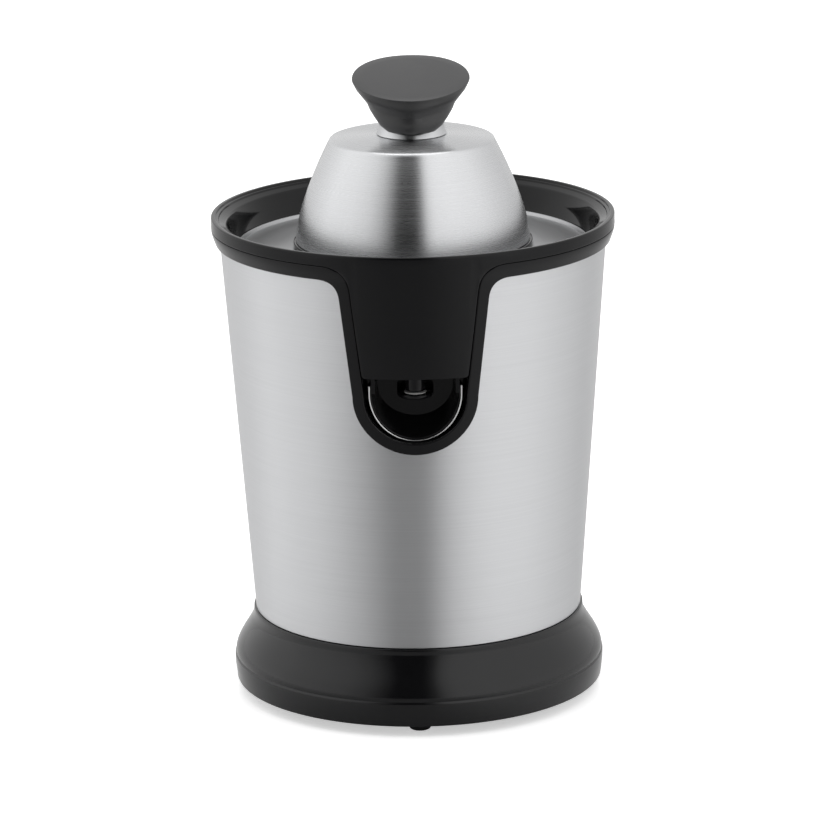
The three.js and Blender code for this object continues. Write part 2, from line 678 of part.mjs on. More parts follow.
// ---------------------------------------------------------------- spout
// Points of the spout's round outline at depth y, moved in by `inset`; a cutter is open at its top.
function scoopRing(y, half, drop, inset) {
  const top = scoopTop + inset;
  const low = Array.from({ length: 13 }, (_, i) => {
    const turn = Math.PI + (i * Math.PI) / 12;
    return new THREE.Vector3(
      (half - inset) * Math.cos(turn), y, lipCentre + (drop - inset) * Math.sin(turn));
  });
  return [new THREE.Vector3(-half + inset, y, top), new THREE.Vector3(half - inset, y, top), ...low];
}
const backHalf = 18;
const backDrop = 15;
const halfAt = (y) => lipHalf + ((backHalf - lipHalf) * (lipFront - y)) / (lipFront - spoutBack);
const dropAt = (y) => lipDrop + ((backDrop - lipDrop) * (lipFront - y)) / (lipFront - spoutBack);
function scoop(yFront, yBack, inset) {
  return solid(new ConvexGeometry([
    ...scoopRing(yFront, halfAt(yFront), dropAt(yFront), inset),
    ...scoopRing(yBack, halfAt(yBack), dropAt(yBack), inset),
  ]));
}
const scoopShell = scoop(lipFront, spoutBack, 0)
  .subtract(scoop(lipFront - 6, spoutBack - 1.6, spoutWall));
const cupShape = cylinder(cup.radius, cup.low, cup.high, 32, 0, cup.y)
  .add(block(-cup.radius, cup.radius, cup.y, spoutBack - 0.5, cup.low, cup.high));
const arms = [-1, 1].map((side) => {
  const xs = side > 0 ? [18.3, 20.3] : [-20.3, -18.3];
  return rod(2.7, ...xs, hinge.y, hinge.z, 20)
    .add(block(...xs, hinge.y - 0.5, hinge.y + 5, scoopTop - 4, hinge.z));
});
const pinBore = rod(pinRadius + gap, -30, 30, hinge.y, hinge.z, 16);
add('pour_spout', joined(scoopShell, cupShape, ...arms).subtract(pinBore), blackGloss);

const lipRing = (inset, y0, y1) => solid(new ConvexGeometry([
  ...scoopRing(y0, lipHalf, lipDrop, inset), ...scoopRing(y1, lipHalf, lipDrop, inset),
]));
const lipDepth = 1.2;
add('spout_lip', lipRing(0, lipFront - gap, lipFront - gap - lipDepth)
  .subtract(lipRing(lipSheet, lipFront + 1, lipFront - 4)), brushedSteel);

add('spout_seal', cylinder(nozzle.radius + gap, cup.high + gap, nozzle.tip - gap, 24, 0, nozzle.y), silicone);

[-1, 1].forEach((side, i) => {
  const xs = side > 0 ? [14.6, 21] : [-21, -14.6];
  add(`spout_pin_${i + 1}`, rod(pinRadius, ...xs, hinge.y, hinge.z, 12), screwSteel);
});

// ---------------------------------------------------------------- sieve, drive sleeve and cone
const sieveInner = 17;
const sieveTop = ledgeHeight + gap + sieveSheet;
const seatHeight = domeBottom - gap; // flat of the sieve that the dome rests on
const wellHeight = seatHeight - 2; // middle of the sieve, inside that flat
let sieve = turned([
  [sieveRadius, sieveTop - sieveSheet],
  [sieveRadius, sieveTop + 1.6],
  [sieveRadius - sieveSheet, sieveTop + 1.6],
  [sieveRadius - 1.2, sieveTop + 0.2],
  [sieveRadius - 4, sieveTop],
  [60, seatHeight],
  [50, seatHeight],
  [46, wellHeight],
  [sieveInner, wellHeight],
  [sieveInner, wellHeight - sieveSheet],
  [46, wellHeight - sieveSheet],
  [50, seatHeight - sieveSheet],
  [60, seatHeight - sieveSheet],
  [sieveRadius - 4, sieveTop - sieveSheet],
]);
for (const [, , turn] of circle(sieveSlots, 1, Math.PI / sieveSlots)) {
  sieve = sieve.subtract(spun(block(26, 42, -1, 1, 200, 222), turn));
}
add('sieve', sieve, brushedSteel);

const guideBore = 8.6;
const collarCap = wellHeight + 1.9;
add('sieve_collar', turned([
  [guideBore, chimneyTop + 2],
  [guideBore + 2, chimneyTop + 2],
  [guideBore + 2, wellHeight - 1.2],
  [chimneyRadius + 0.9, wellHeight - 1.2],
  [chimneyRadius + 0.9, chimneyTop - 4],
  [sieveInner - gap, chimneyTop - 4],
  [sieveInner - gap, wellHeight + gap],
  [sieveInner + 2, wellHeight + gap],
  [sieveInner + 2, collarCap],
  [guideBore, collarCap],
], 24), blackSatin);

const sleeveRadius = 6.2;
const sleeveLow = 189.5;
const sleeveHigh = 237.5;
const sleeveFlange = collarCap - 0.8;
add('drip_ring', turned([
  [sleeveRadius + gap, chimneyTop + 2.5],
  [guideBore - gap, chimneyTop + 2.5],
  [guideBore - gap, sleeveFlange - gap],
  [sleeveRadius + gap, sleeveFlange - gap],
], 24), silicone);
add('drive_sleeve', turned([
  [0, sleeveLow],
  [sleeveRadius, sleeveLow],
  [sleeveRadius, sleeveFlange],
  [guideBore - 0.6, sleeveFlange],
  [guideBore - 0.6, sleeveFlange + 1.4],
  [sleeveRadius, sleeveFlange + 1.4],
  [sleeveRadius, sleeveHigh],
  [0, sleeveHigh],
], 24).subtract(keyed(shaftRadius, sleeveLow - 2, shaftTop + 1.2, 0.15)), whiteNylon);

// Height above the cone's foot and radius there, as shares of its height and foot radius.
const coneCurve = [[0, 1], [0.35, 0.84], [0.75, 0.38]];
const conePoints = (stand) => coneCurve.map(([up, out]) =>
  [out * coneRadius + stand, coneBottom + up * coneHeight + stand * 0.5]);
const hubWall = 3;
const coneBody = turned([
  [0, coneBottom + coneHeight],
  ...conePoints(0).reverse(),
  [coneRadius - 2.2, coneBottom],
  [coneRadius * 0.9, coneBottom + coneHeight * 0.14],
  [coneRadius * 0.58, coneBottom + coneHeight * 0.5],
  [sleeveRadius + gap + hubWall, coneBottom + coneHeight * 0.62],
  [sleeveRadius + gap + hubWall, coneBottom - 0.6],
  [sleeveRadius + gap, coneBottom - 0.6],
  [sleeveRadius + gap, sleeveHigh + gap],
  [0, sleeveHigh + gap],
], 24);
const ribLimit = turned([[0, coneBottom], ...conePoints(1.6), [0, coneBottom + coneHeight + 0.6]], 24);
const coneInside = turned([[0, coneBottom - 5], ...conePoints(-0.8), [0, coneBottom + coneHeight - 2]], 24);
let cone = coneBody;
for (const [, , turn] of circle(coneRibs, 1)) {
  const rib = spun(block(1, coneRadius + 4, -1, 1, coneBottom, coneBottom + coneHeight + 2), turn);
  cone = cone.add(rib.intersect(ribLimit).subtract(coneInside));
}
add('reamer_cone', cone, blackSatin);

// ---------------------------------------------------------------- press dome
// Radius, height and lean of the surface (0 upright, 90 flat) from the foot to the middle of the crown.
const domeCurve = [
  [domeFoot - 0.9, domeBottom + ringHeight + gap, 0],
  [domeFoot - 1.3, 222.5, 8],
  [domeFoot - 6.5, 239, 18],
  [domeFoot - 13.1, 256.5, 19],
  [domeFoot - 16.1, domeShoulder - 2, 35],
  [domeFoot - 19.2, domeShoulder + 0.4, 74],
  [domeFoot - 38, domeTop - 0.5, 86],
];
const domeAt = (depth) => domeCurve.map(([r, z, lean]) => {
  const turn = THREE.MathUtils.degToRad(lean);
  return [r - depth * Math.cos(turn), z - depth * Math.sin(turn)];
});
const screwBore = 2.2;
const domeFacets = 24;
add('dome_shell', turned([
  ...domeAt(0), [screwBore, domeTop], [screwBore, domeTop - domeSheet], ...domeAt(domeSheet).reverse(),
], domeFacets), brushedSteel);

const linerSkin = domeSheet + gap;
const linerInside = linerSkin + linerWall;
let liner = turned([
  [domeFoot - 1, domeBottom],
  [domeFoot, domeBottom + 0.8],
  [domeFoot, domeBottom + ringHeight],
  [domeFoot - 1.9, domeBottom + ringHeight],
  ...domeAt(linerSkin),
  [screwBore, domeTop - linerSkin],
  [screwBore, domeTop - linerInside],
  ...domeAt(linerInside).reverse(),
  [domeFoot - 4, domeBottom],
], domeFacets);
const bell = turned([
  [0, domeBottom + 4], ...domeAt(linerSkin + 0.5).slice(1), [0, domeTop - linerSkin - 0.5],
], domeFacets);
const reach = turned([[0, 200], ...domeAt(linerInside + 2.4), [0, domeTop - linerInside - 2.4]], domeFacets);
for (const [, , turn] of circle(linerFins, 1, Math.PI / 4)) {
  const fin = joined(
    block(38, 52, -0.9, 0.9, domeBottom + 6, 237.5),
    block(30, 48, -0.9, 0.9, 237.4, 257.5),
  );
  liner = liner.add(spun(fin, turn).intersect(bell).subtract(reach));
}
add('dome_liner', liner, blackGloss);

add('knob_screw', turned([
  [0, domeTop - linerInside - 2], [3.6, domeTop - linerInside - 2], [4, domeTop - linerInside - 1.2],
  [4, domeTop - linerInside - gap], [1.6, domeTop - linerInside - gap], [1.6, knobTop - 8], [0, knobTop - 8],
], 16), screwSteel);

const neckTop = knobTop - 12;
add('knob_neck', turned([
  [screwBore, domeTop + gap],
  [neckRadius + 1.1, domeTop + gap],
  [neckRadius, domeTop + 3.5],
  [neckRadius - 0.2, neckTop],
  [screwBore, neckTop],
], 24), brushedSteel);

// Ring of points of the knob: an ellipse dipped to the front by `tilt` degrees.
function knobRing(half, depth, y, z, tilt) {
  const dip = Math.tan(THREE.MathUtils.degToRad(tilt));
  return Array.from({ length: 20 }, (_, i) => {
    const turn = (i * 2 * Math.PI) / 20;
    const along = depth * Math.sin(turn);
    return new THREE.Vector3(half * Math.cos(turn), y + along, z + along * dip);
  });
}
const knob = solid(new ConvexGeometry([
  ...knobRing(knobHalf - 1.4, knobDepth - 1.4, 0, knobTop + 1, knobTilt),
  ...knobRing(knobHalf, knobDepth, 0, knobTop - 0.6, knobTilt),
  ...knobRing(knobHalf - 2.4, knobDepth - 1.6, -0.5, knobTop - 5, knobTilt - 1),
  ...knobRing(12, 10, -9.5, domeTop + 3.2, 0),
]));
const neckSocket = turned([[0, 240], [neckRadius + 1.6, 240], [neckRadius + 1.6, domeTop + 3],
  [neckRadius + gap, domeTop + 4], [neckRadius + gap, neckTop + gap], [0, neckTop + gap]], 32);
add('knob', knob.subtract(neckSocket).subtract(cylinder(screwBore, 250, knobTop - 7, 16)), knobGrey);

export default group;
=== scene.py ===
"""Citrus press juicer: the visible pieces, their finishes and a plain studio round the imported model."""

import math

import bmesh
import bpy
from mathutils import Matrix, Vector


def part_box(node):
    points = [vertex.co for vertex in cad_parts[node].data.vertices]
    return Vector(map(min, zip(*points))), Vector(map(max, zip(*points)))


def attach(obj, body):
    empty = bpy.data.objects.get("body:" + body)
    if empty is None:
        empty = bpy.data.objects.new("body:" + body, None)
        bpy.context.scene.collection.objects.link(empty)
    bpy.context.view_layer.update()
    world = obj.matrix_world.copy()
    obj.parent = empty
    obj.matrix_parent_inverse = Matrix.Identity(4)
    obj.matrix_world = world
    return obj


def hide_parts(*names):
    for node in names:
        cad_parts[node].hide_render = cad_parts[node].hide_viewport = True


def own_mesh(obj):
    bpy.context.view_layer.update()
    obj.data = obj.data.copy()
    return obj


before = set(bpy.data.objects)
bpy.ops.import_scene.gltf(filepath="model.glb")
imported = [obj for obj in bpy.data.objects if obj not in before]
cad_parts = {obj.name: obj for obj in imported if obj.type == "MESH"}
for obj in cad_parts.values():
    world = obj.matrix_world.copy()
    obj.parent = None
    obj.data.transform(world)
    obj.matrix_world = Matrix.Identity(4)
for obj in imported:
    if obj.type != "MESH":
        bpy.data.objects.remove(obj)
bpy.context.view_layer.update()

bl_info = {
    "name": "Citrus press juicer",
    "version": (1, 0, 0),
    "blender": (4, 5, 0),
    "location": "View3D > Sidebar > Juicer",
    "description": "Builds the pieces and finishes of a hand-pressed citrus juicer",
    "category": "Add Mesh",
}

MM = 0.001


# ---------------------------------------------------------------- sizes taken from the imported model
def low(node):
    """Lowest corner of a CAD node, in millimetres."""
    return [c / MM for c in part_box(node)[0]]


def high(node):
    """Highest corner of a CAD node, in millimetres."""
    return [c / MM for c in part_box(node)[1]]


def middle(node):
    """Middle of a CAD node, in millimetres."""
    return [(a + b) / 2 for a, b in zip(low(node), high(node))]


GAP = 0.3
SHARP_ANGLE = math.radians(32)
STEEL_SHEET = 0.8
FRAME_LAP = 1.7
FRAME_SPREAD = 0.115
POCKET_WALL = 1.6
BASE_LOW = low("base_shell")[2]
BASE_RADIUS = high("base_shell")[0]
COLLAR_TOP = high("base_shell")[2]
STEEL_LOW = low("steel_housing")[2]
STEEL_HEAD = high("steel_housing")[0]
STEEL_TOP = high("steel_housing")[2] + GAP
TRIM_TOP = high("trim_frame")[2]
FRAME_LOW = low("trim_frame")[2]
RIM_RADIUS = high("juice_bowl")[0]
RIM_TOP = high("juice_bowl")[2]
SIEVE_RADIUS = high("sieve")[0]
SIEVE_SHEET = 0.6
SIEVE_TOP = high("sieve")[2] - 1.6
LEDGE = SIEVE_TOP - SIEVE_SHEET - GAP
SEAT = low("dome_liner")[2] - GAP
WELL = SEAT - 2.0
CHIMNEY = low("sieve_collar")[2] + 4.0
FLOOR = CHIMNEY - 21.0
DOME_LOW = low("dome_liner")[2]
DOME_FOOT = high("dome_liner")[0]
DOME_TOP = high("dome_shell")[2]
HINGE = middle("spout_pin_1")
NOZZLE_Y = middle("spout_seal")[1]
CUP_TOP = low("spout_seal")[2] - GAP
NOZZLE_TIP = high("spout_seal")[2] + GAP
LIP = low("spout_lip")
SCOOP_TOP = high("spout_lip")[2]
CONE_LOW = low("reamer_cone")[2]
CONE_TOP = high("reamer_cone")[2]

# Columns of the front outline: round bottom, straight side, corner, the way round the back, bib nook.
ROUND_CUTS, SIDE_CUTS, CORNER_CUTS, REAR_CUTS, NOOK_CUTS = 18, 2, 10, 132, 6


# ---------------------------------------------------------------- what a user would change
class JuicerSizes(bpy.types.PropertyGroup):
    """Sizes of the juicer's visible shapes"""

    steel_foot: bpy.props.FloatProperty(
        name="Steel foot radius", description="Outer radius of the steel body at the base",
        default=0.077, unit="LENGTH")
    frame_half: bpy.props.FloatProperty(
        name="Frame half width", description="Half width of the front frame where its bottom starts to round",
        default=0.0287, unit="LENGTH")
    frame_centre: bpy.props.FloatProperty(
        name="Frame centre height", description="Height where the frame's sides turn into its round bottom",
        default=0.1615, unit="LENGTH")
    frame_face: bpy.props.FloatProperty(
        name="Frame face width", description="Width of the black frame's face",
        default=0.0051, unit="LENGTH")
    bib_bottom: bpy.props.FloatProperty(
        name="Bib bottom height", description="Height of the lower edge of the bowl's front bib",
        default=0.1705, unit="LENGTH")
    dome_shoulder: bpy.props.FloatProperty(
        name="Dome shoulder radius", description="Radius of the dome where its side meets its crown",
        default=0.0386, unit="LENGTH")
    knob_depth: bpy.props.FloatProperty(
        name="Knob half depth", description="Half of the palm face's depth",
        default=0.0238, unit="LENGTH")
    knob_dip: bpy.props.FloatProperty(
        name="Knob dip", description="How far the palm face dips to the front",
        default=math.radians(15), subtype="ANGLE")


class JuicerColours(bpy.types.PropertyGroup):
    """Colours of the juicer's finishes"""

    steel: bpy.props.FloatVectorProperty(
        name="Steel", description="Colour of the brushed steel", subtype="COLOR",
        default=(0.615, 0.62, 0.63), min=0, max=1)
    black: bpy.props.FloatVectorProperty(
        name="Black plastic", description="Colour of the black plastic", subtype="COLOR",
        default=(0.0045, 0.0045, 0.005), min=0, max=1)
    knob: bpy.props.FloatVectorProperty(
        name="Knob", description="Colour of the palm knob", subtype="COLOR",
        default=(0.026, 0.026, 0.027), min=0, max=1)
    floor: bpy.props.FloatVectorProperty(
        name="Floor", description="Colour of the studio floor", subtype="COLOR",
        default=(0.93, 0.93, 0.93), min=0, max=1)


def size(name):
    """One of the sizes, in millimetres."""
    return getattr(bpy.context.scene.juicer_sizes, name) / MM


def colour(name):
    """One of the colours, with its alpha."""
    return (*getattr(bpy.context.scene.juicer_colours, name), 1.0)


# ---------------------------------------------------------------- node helpers
def node_in(tree, kind, inputs=None, **settings):
    """A new node with its settings; an input is a value or the socket that feeds it."""
    node = tree.nodes.new(kind)
    for key, value in settings.items():
        setattr(node, key, value)
    for key, value in (inputs or {}).items():
        socket = node.inputs[key]
        if isinstance(value, bpy.types.NodeSocket):
            tree.links.new(value, socket)
        else:
            socket.default_value = value
    return node


def maths(tree, operation, a, b=0.0):
    """One sum on two values or sockets."""
    return node_in(tree, "ShaderNodeMath", {0: a, 1: b}, operation=operation).outputs[0]


def spread(tree, value, low_out, high_out):
    """A value from 0 to 1 spread between two others."""
    reach = {"Value": value, "To Min": low_out, "To Max": high_out}
    return node_in(tree, "ShaderNodeMapRange", reach).outputs[0]


def cut_off(tree, value, low_in, high_in):
    """A value as 0 below one level and 1 above another."""
    reach = {"Value": value, "From Min": low_in, "From Max": high_in}
    return node_in(tree, "ShaderNodeMapRange", reach).outputs[0]


def group_of(name, inputs, outputs, wire):
    """A shader node group with named inputs and outputs, built once."""
    if name in bpy.data.node_groups:
        return bpy.data.node_groups[name]
    tree = bpy.data.node_groups.new(name, "ShaderNodeTree")
    for label, kind, value in inputs:
        socket = tree.interface.new_socket(name=label, in_out="INPUT", socket_type=kind)
        if value is not None:
            socket.default_value = value
    for label in outputs:
        tree.interface.new_socket(name=label, in_out="OUTPUT", socket_type="NodeSocketFloat")
    given = tree.nodes.new("NodeGroupInput").outputs
    result = tree.nodes.new("NodeGroupOutput").inputs
    for label, socket in wire(tree, given).items():
        tree.links.new(socket, result[label])
    return tree


def brushing():
    """Fine lines that run round the upright axis, on walls and flats alike."""
    def wire(tree, given):
        at = node_in(tree, "ShaderNodeSeparateXYZ", {0: given["Vector"]}).outputs
        out = maths(tree, "SQRT", maths(tree, "ADD", maths(tree, "MULTIPLY", at[0], at[0]),
                                        maths(tree, "MULTIPLY", at[1], at[1])))
        across = maths(tree, "MULTIPLY", maths(tree, "SUBTRACT", at[2], out), given["Lines"])
        along = [maths(tree, "MULTIPLY", at[i], given["Length"]) for i in (0, 1)]
        place = node_in(tree, "ShaderNodeCombineXYZ", {0: along[0], 1: along[1], 2: across}).outputs[0]
        fine = node_in(tree, "ShaderNodeTexNoise", {"Vector": place, "Scale": 1.0, "Detail": 3.0,
                                                    "Roughness": 0.65}).outputs[0]
        slow = node_in(tree, "ShaderNodeVectorMath", {0: place, 1: (0.5, 0.5, 0.35)},
                       operation="MULTIPLY").outputs[0]
        broad = node_in(tree, "ShaderNodeTexNoise", {"Vector": slow, "Scale": 1.0, "Detail": 2.0}).outputs[0]
        return {"Height": fine, "Tone": maths(tree, "ADD", maths(tree, "MULTIPLY", fine, 0.6),
                                              maths(tree, "MULTIPLY", broad, 0.4))}
    inputs = [("Vector", "NodeSocketVector", None), ("Lines", "NodeSocketFloat", 5200.0),
              ("Length", "NodeSocketFloat", 16.0)]
    return group_of("Brushed lines", inputs, ["Height", "Tone"], wire)


def grain():
    """Fine moulded grain with broader handling marks over it."""
    def wire(tree, given):
        fine = node_in(tree, "ShaderNodeTexNoise", {"Vector": given["Vector"], "Scale": given["Scale"],
                                                    "Detail": 4.0, "Roughness": 0.6}).outputs[0]
        broad = node_in(tree, "ShaderNodeTexNoise", {"Vector": given["Vector"],
                                                     "Scale": maths(tree, "MULTIPLY", given["Scale"], 0.02),
                                                     "Detail": 3.0, "Distortion": 0.6}).outputs[0]
        return {"Height": fine, "Marks": cut_off(tree, broad, 0.42, 0.68)}
    inputs = [("Vector", "NodeSocketVector", None), ("Scale", "NodeSocketFloat", 900.0)]
    return group_of("Moulded grain", inputs, ["Height", "Marks"], wire)


def edge_wear():
    """A thin line along outward edges."""
    def wire(tree, given):
        point = node_in(tree, "ShaderNodeNewGeometry").outputs["Pointiness"]
        rub = node_in(tree, "ShaderNodeTexNoise", {"Vector": given["Vector"], "Scale": 240.0}).outputs[0]
        line = cut_off(tree, point, 0.55, 0.66)
        return {"Wear": maths(tree, "MULTIPLY", line, spread(tree, rub, 0.3, 1.0))}
    return group_of("Edge wear", [("Vector", "NodeSocketVector", None)], ["Wear"], wire)


def blank(name):
    """A new material: its tree, its shader and its Object coordinates."""
    material = bpy.data.materials.new(name)
    material.use_nodes = True
    tree = material.node_tree
    shader = tree.nodes["Principled BSDF"]
    place = node_in(tree, "ShaderNodeTexCoord").outputs["Object"]
    return material, tree, shader, place


def mixed(tree, factor, first, second):
    """One colour turning into another."""
    return node_in(tree, "ShaderNodeMix", {0: factor, 6: first, 7: second}, data_type="RGBA").outputs[2]


def bump(tree, shader, height, distance, strength=1.0):
    """Feeds a height to the shader's normal."""
    node = node_in(tree, "ShaderNodeBump", {"Height": height, "Distance": distance, "Strength": strength})
    tree.links.new(node.outputs[0], shader.inputs["Normal"])


def shade(rgba, factor):
    """A colour made darker or lighter."""
    return (*[min(c * factor, 1.0) for c in rgba[:3]], 1.0)


def brushed(name, tint, rough, lines=5200.0, anisotropy=0.8):
    """Brushed metal whose lines run round the upright axis."""
    material, tree, shader, place = blank(name)
    group = node_in(tree, "ShaderNodeGroup", node_tree=brushing())
    tree.links.new(place, group.inputs["Vector"])
    group.inputs["Lines"].default_value = lines
    tree.links.new(mixed(tree, group.outputs["Tone"], shade(tint, 0.9), shade(tint, 1.12)),
                   shader.inputs["Base Color"])
    roughness = spread(tree, group.outputs["Tone"], rough - 0.07, rough + 0.07)
    tree.links.new(roughness, shader.inputs["Roughness"])
    shader.inputs["Metallic"].default_value = 1.0
    shader.inputs["Anisotropic"].default_value = anisotropy
    shader.inputs["Anisotropic Rotation"].default_value = 0.25
    bump(tree, shader, group.outputs["Height"], 0.00002, 0.35)
    return material


def moulded(name, tint, rough, scale=900.0, depth=0.000004, marks=0.08, gloss=0.4, metallic=0.0, wear=0.2):
    """Moulded or cast stuff with a fine grain, handling marks and slightly rubbed edges."""
    material, tree, shader, place = blank(name)
    group = node_in(tree, "ShaderNodeGroup", node_tree=grain())
    tree.links.new(place, group.inputs["Vector"])
    group.inputs["Scale"].default_value = scale
    rubbed = node_in(tree, "ShaderNodeGroup", node_tree=edge_wear())
    tree.links.new(place, rubbed.inputs["Vector"])
    base = mixed(tree, group.outputs["Height"], shade(tint, 0.85), shade(tint, 1.15))
    edge = maths(tree, "MULTIPLY", rubbed.outputs["Wear"], wear)
    tree.links.new(mixed(tree, edge, base, shade(tint, 3.0)), shader.inputs["Base Color"])
    tree.links.new(spread(tree, group.outputs["Marks"], rough, rough + marks), shader.inputs["Roughness"])
    shader.inputs["Metallic"].default_value = metallic
    shader.inputs["Specular IOR Level"].default_value = gloss
    bump(tree, shader, group.outputs["Height"], depth)
    return material


def banded(name, tint, rough, pitch, axis, depth, metallic=0.9):
    """Stacked sheets or wound wire: even ridges along one axis."""
    material, tree, shader, place = blank(name)
    ridges = {"Vector": place, "Scale": 1.0 / (pitch * 20.0), "Distortion": 0.1}
    wave = node_in(tree, "ShaderNodeTexWave", ridges, bands_direction=axis).outputs["Fac"]
    noise = node_in(tree, "ShaderNodeTexNoise", {"Vector": place, "Scale": 400.0}).outputs[0]
    base = mixed(tree, wave, shade(tint, 0.45), shade(tint, 1.1))
    tree.links.new(mixed(tree, maths(tree, "MULTIPLY", noise, 0.4), base, shade(tint, 0.7)),
                   shader.inputs["Base Color"])
    tree.links.new(spread(tree, noise, rough - 0.08, rough + 0.1), shader.inputs["Roughness"])
    shader.inputs["Metallic"].default_value = metallic
    bump(tree, shader, wave, depth)
    return material


FINISHES = {
    "brushed_steel": lambda: brushed("brushed steel", colour("steel"), 0.33, anisotropy=0.9),
    "dome_steel": lambda: brushed("dome steel", colour("steel"), 0.27, lines=4200.0, anisotropy=0.9),
    # Painted shade: the sieve gets the body's steel colour darkened to 0.72, standing in for the shadow it
    # sits in under the rim and dome.
    "shaded_sieve_steel": lambda: brushed("sieve steel with painted shade", shade(colour("steel"), 0.72), 0.32, lines=2600.0),
    "polished_steel": lambda: brushed("polished steel", (0.9, 0.9, 0.9, 1), 0.16, anisotropy=0.2),
    "gloss_black": lambda: moulded("gloss black", colour("black"), 0.07, scale=500.0, depth=0.0000015,
                                   marks=0.05, gloss=0.22, wear=0.08),
    "base_black": lambda: moulded("base black", colour("black"), 0.1, scale=500.0, depth=0.0000015,
                                  marks=0.05, gloss=0.42, wear=0.08),
    "satin_black": lambda: moulded("satin black", shade(colour("black"), 1.8), 0.32, depth=0.00001),
    "knob_grey": lambda: moulded("knob grey", colour("knob"), 0.3, scale=1500.0, depth=0.000008, gloss=0.6),
    "rubber_black": lambda: moulded("rubber", (0.016, 0.016, 0.016, 1), 0.62, scale=700.0, depth=0.00003,
                                    marks=0.15),
    "silicone": lambda: moulded("silicone", (0.42, 0.42, 0.41, 1), 0.5, scale=600.0, depth=0.00001),
    "nylon": lambda: moulded("nylon", (0.72, 0.7, 0.62, 1), 0.38, scale=500.0, depth=0.00001, wear=0.0),
    "iron": lambda: banded("laminated iron", (0.2, 0.21, 0.22, 1), 0.45, 0.0006, "Z", 0.00008),
    "copper_wire": lambda: banded("copper winding", (0.62, 0.25, 0.1, 1), 0.32, 0.0008, "Y", 0.0002),
    "cast_metal": lambda: moulded("cast metal", (0.42, 0.43, 0.44, 1), 0.42, scale=350.0, depth=0.00006,
                                  metallic=0.9),
    "brass": lambda: brushed("brass", (0.62, 0.43, 0.16, 1), 0.28, anisotropy=0.3),
    "screw_steel": lambda: brushed("screw steel", (0.5, 0.5, 0.51, 1), 0.3, anisotropy=0.3),
}
made_finishes = {}


def finish(slot):
    """The material of a finish, built the first time it is asked for."""
    if slot not in made_finishes:
        made_finishes[slot] = FINISHES[slot]()
    return made_finishes[slot]


# ---------------------------------------------------------------- shape helpers, in millimetres
def rounded(bm, edges, radius):
    """Rounds these edges."""
    bmesh.ops.bevel(bm, geom=edges, offset=radius, offset_type="OFFSET", segments=3, profile=0.5,
                    affect="EDGES", material=-1, clamp_overlap=True)


def turned(bm, outline, steps=192, place=None):
    """Spins an outline of (radius, height[, edge radius]) round the upright axis, then places it."""
    before = set(bm.verts)
    points = [(r, z, more[0] if more else 0.0) for r, z, *more in outline]
    row = [bm.verts.new((r, 0.0, z)) for r, z, _ in points]
    edges = [bm.edges.new(pair) for pair in zip(row, row[1:])]
    if points[0][0] > 0 and points[-1][0] > 0:
        edges.append(bm.edges.new((row[-1], row[0])))
    bmesh.ops.spin(bm, geom=row + edges, cent=(0, 0, 0), axis=(0, 0, 1), dvec=(0, 0, 0),
                   angle=2 * math.pi, steps=steps, use_merge=True, use_normal_flip=False, use_duplicate=False)
    fresh = [v for v in bm.verts if v not in before]
    bmesh.ops.remove_doubles(bm, verts=fresh, dist=1e-4)
    fresh = [v for v in bm.verts if v not in before]
    bmesh.ops.recalc_face_normals(bm, faces=list({f for v in fresh for f in v.link_faces}))
    rings = {}
    for edge in {e for v in fresh for e in v.link_edges}:
        a, b = edge.verts
        ra, rb = math.hypot(a.co.x, a.co.y), math.hypot(b.co.x, b.co.y)
        if abs(ra - rb) < 1e-3 and abs(a.co.z - b.co.z) < 1e-3:
            rings.setdefault((round(ra, 2), round(a.co.z, 2)), []).append(edge)
    for r, z, radius in points:
        if radius:
            rounded(bm, rings[(round(r, 2), round(z, 2))], radius)
    if place:
        bmesh.ops.transform(bm, matrix=place, verts=[v for v in bm.verts if v not in before])


def lofted(bm, rings, rounding=None, hoop=False):
    """Grows a closed ring of points through others; a hoop joins last to first, others are capped."""
    row = [bm.verts.new(p) for p in rings[0]]
    count = len(row)
    edges = [bm.edges.new((row[i], row[(i + 1) % count])) for i in range(count)]
    rows = [row]
    first_edges = edges
    for ring in rings[1:]:
        made = bmesh.ops.extrude_edge_only(bm, edges=edges)["geom"]
        fresh = {v for v in made if isinstance(v, bmesh.types.BMVert)}
        edges = [e for e in made if isinstance(e, bmesh.types.BMEdge) and set(e.verts) <= fresh]
        row = [next(e.other_vert(v) for e in v.link_edges if e.other_vert(v) in fresh) for v in rows[-1]]
        for vert, point in zip(row, ring):
            vert.co = point
        rows.append(row)
    if hoop:
        made = bmesh.ops.extrude_edge_only(bm, edges=edges)["geom"]
        fresh = {v for v in made if isinstance(v, bmesh.types.BMVert)}
        last = [next(e.other_vert(v) for e in v.link_edges if e.other_vert(v) in fresh) for v in rows[-1]]
        bmesh.ops.weld_verts(bm, targetmap=dict(zip(last, rows[0])))
    else:
        bmesh.ops.edgeloop_fill(bm, edges=first_edges)
        bmesh.ops.edgeloop_fill(bm, edges=edges)
    bmesh.ops.recalc_face_normals(bm, faces=list({f for r in rows for v in r for f in v.link_faces}))
    for row, radius in zip(rows, rounding or []):
        if radius:
            loop = [bm.edges.get((row[i], row[(i + 1) % count])) for i in range(count)]
            rounded(bm, [e for e in loop if e], radius)


def slab(bm, face, along, rounding=None):
    """A flat face thickened along a vector."""
    lofted(bm, [face, [p + along for p in face]], rounding)


def mesh_from(bm, name):
    """Turns a bmesh into a mesh and frees it."""
    mesh = bpy.data.meshes.new(name)
    bm.to_mesh(mesh)
    bm.free()
    return mesh


def placed(name, data):
    """A new object in the scene that shows this data."""
    thing = bpy.data.objects.new(name, data)
    bpy.context.scene.collection.objects.link(thing)
    return thing


def smoothed(mesh):
    """Smooth shading with crisp corners."""
    mesh.shade_smooth()
    mesh.set_sharp_from_angle(angle=SHARP_ANGLE)


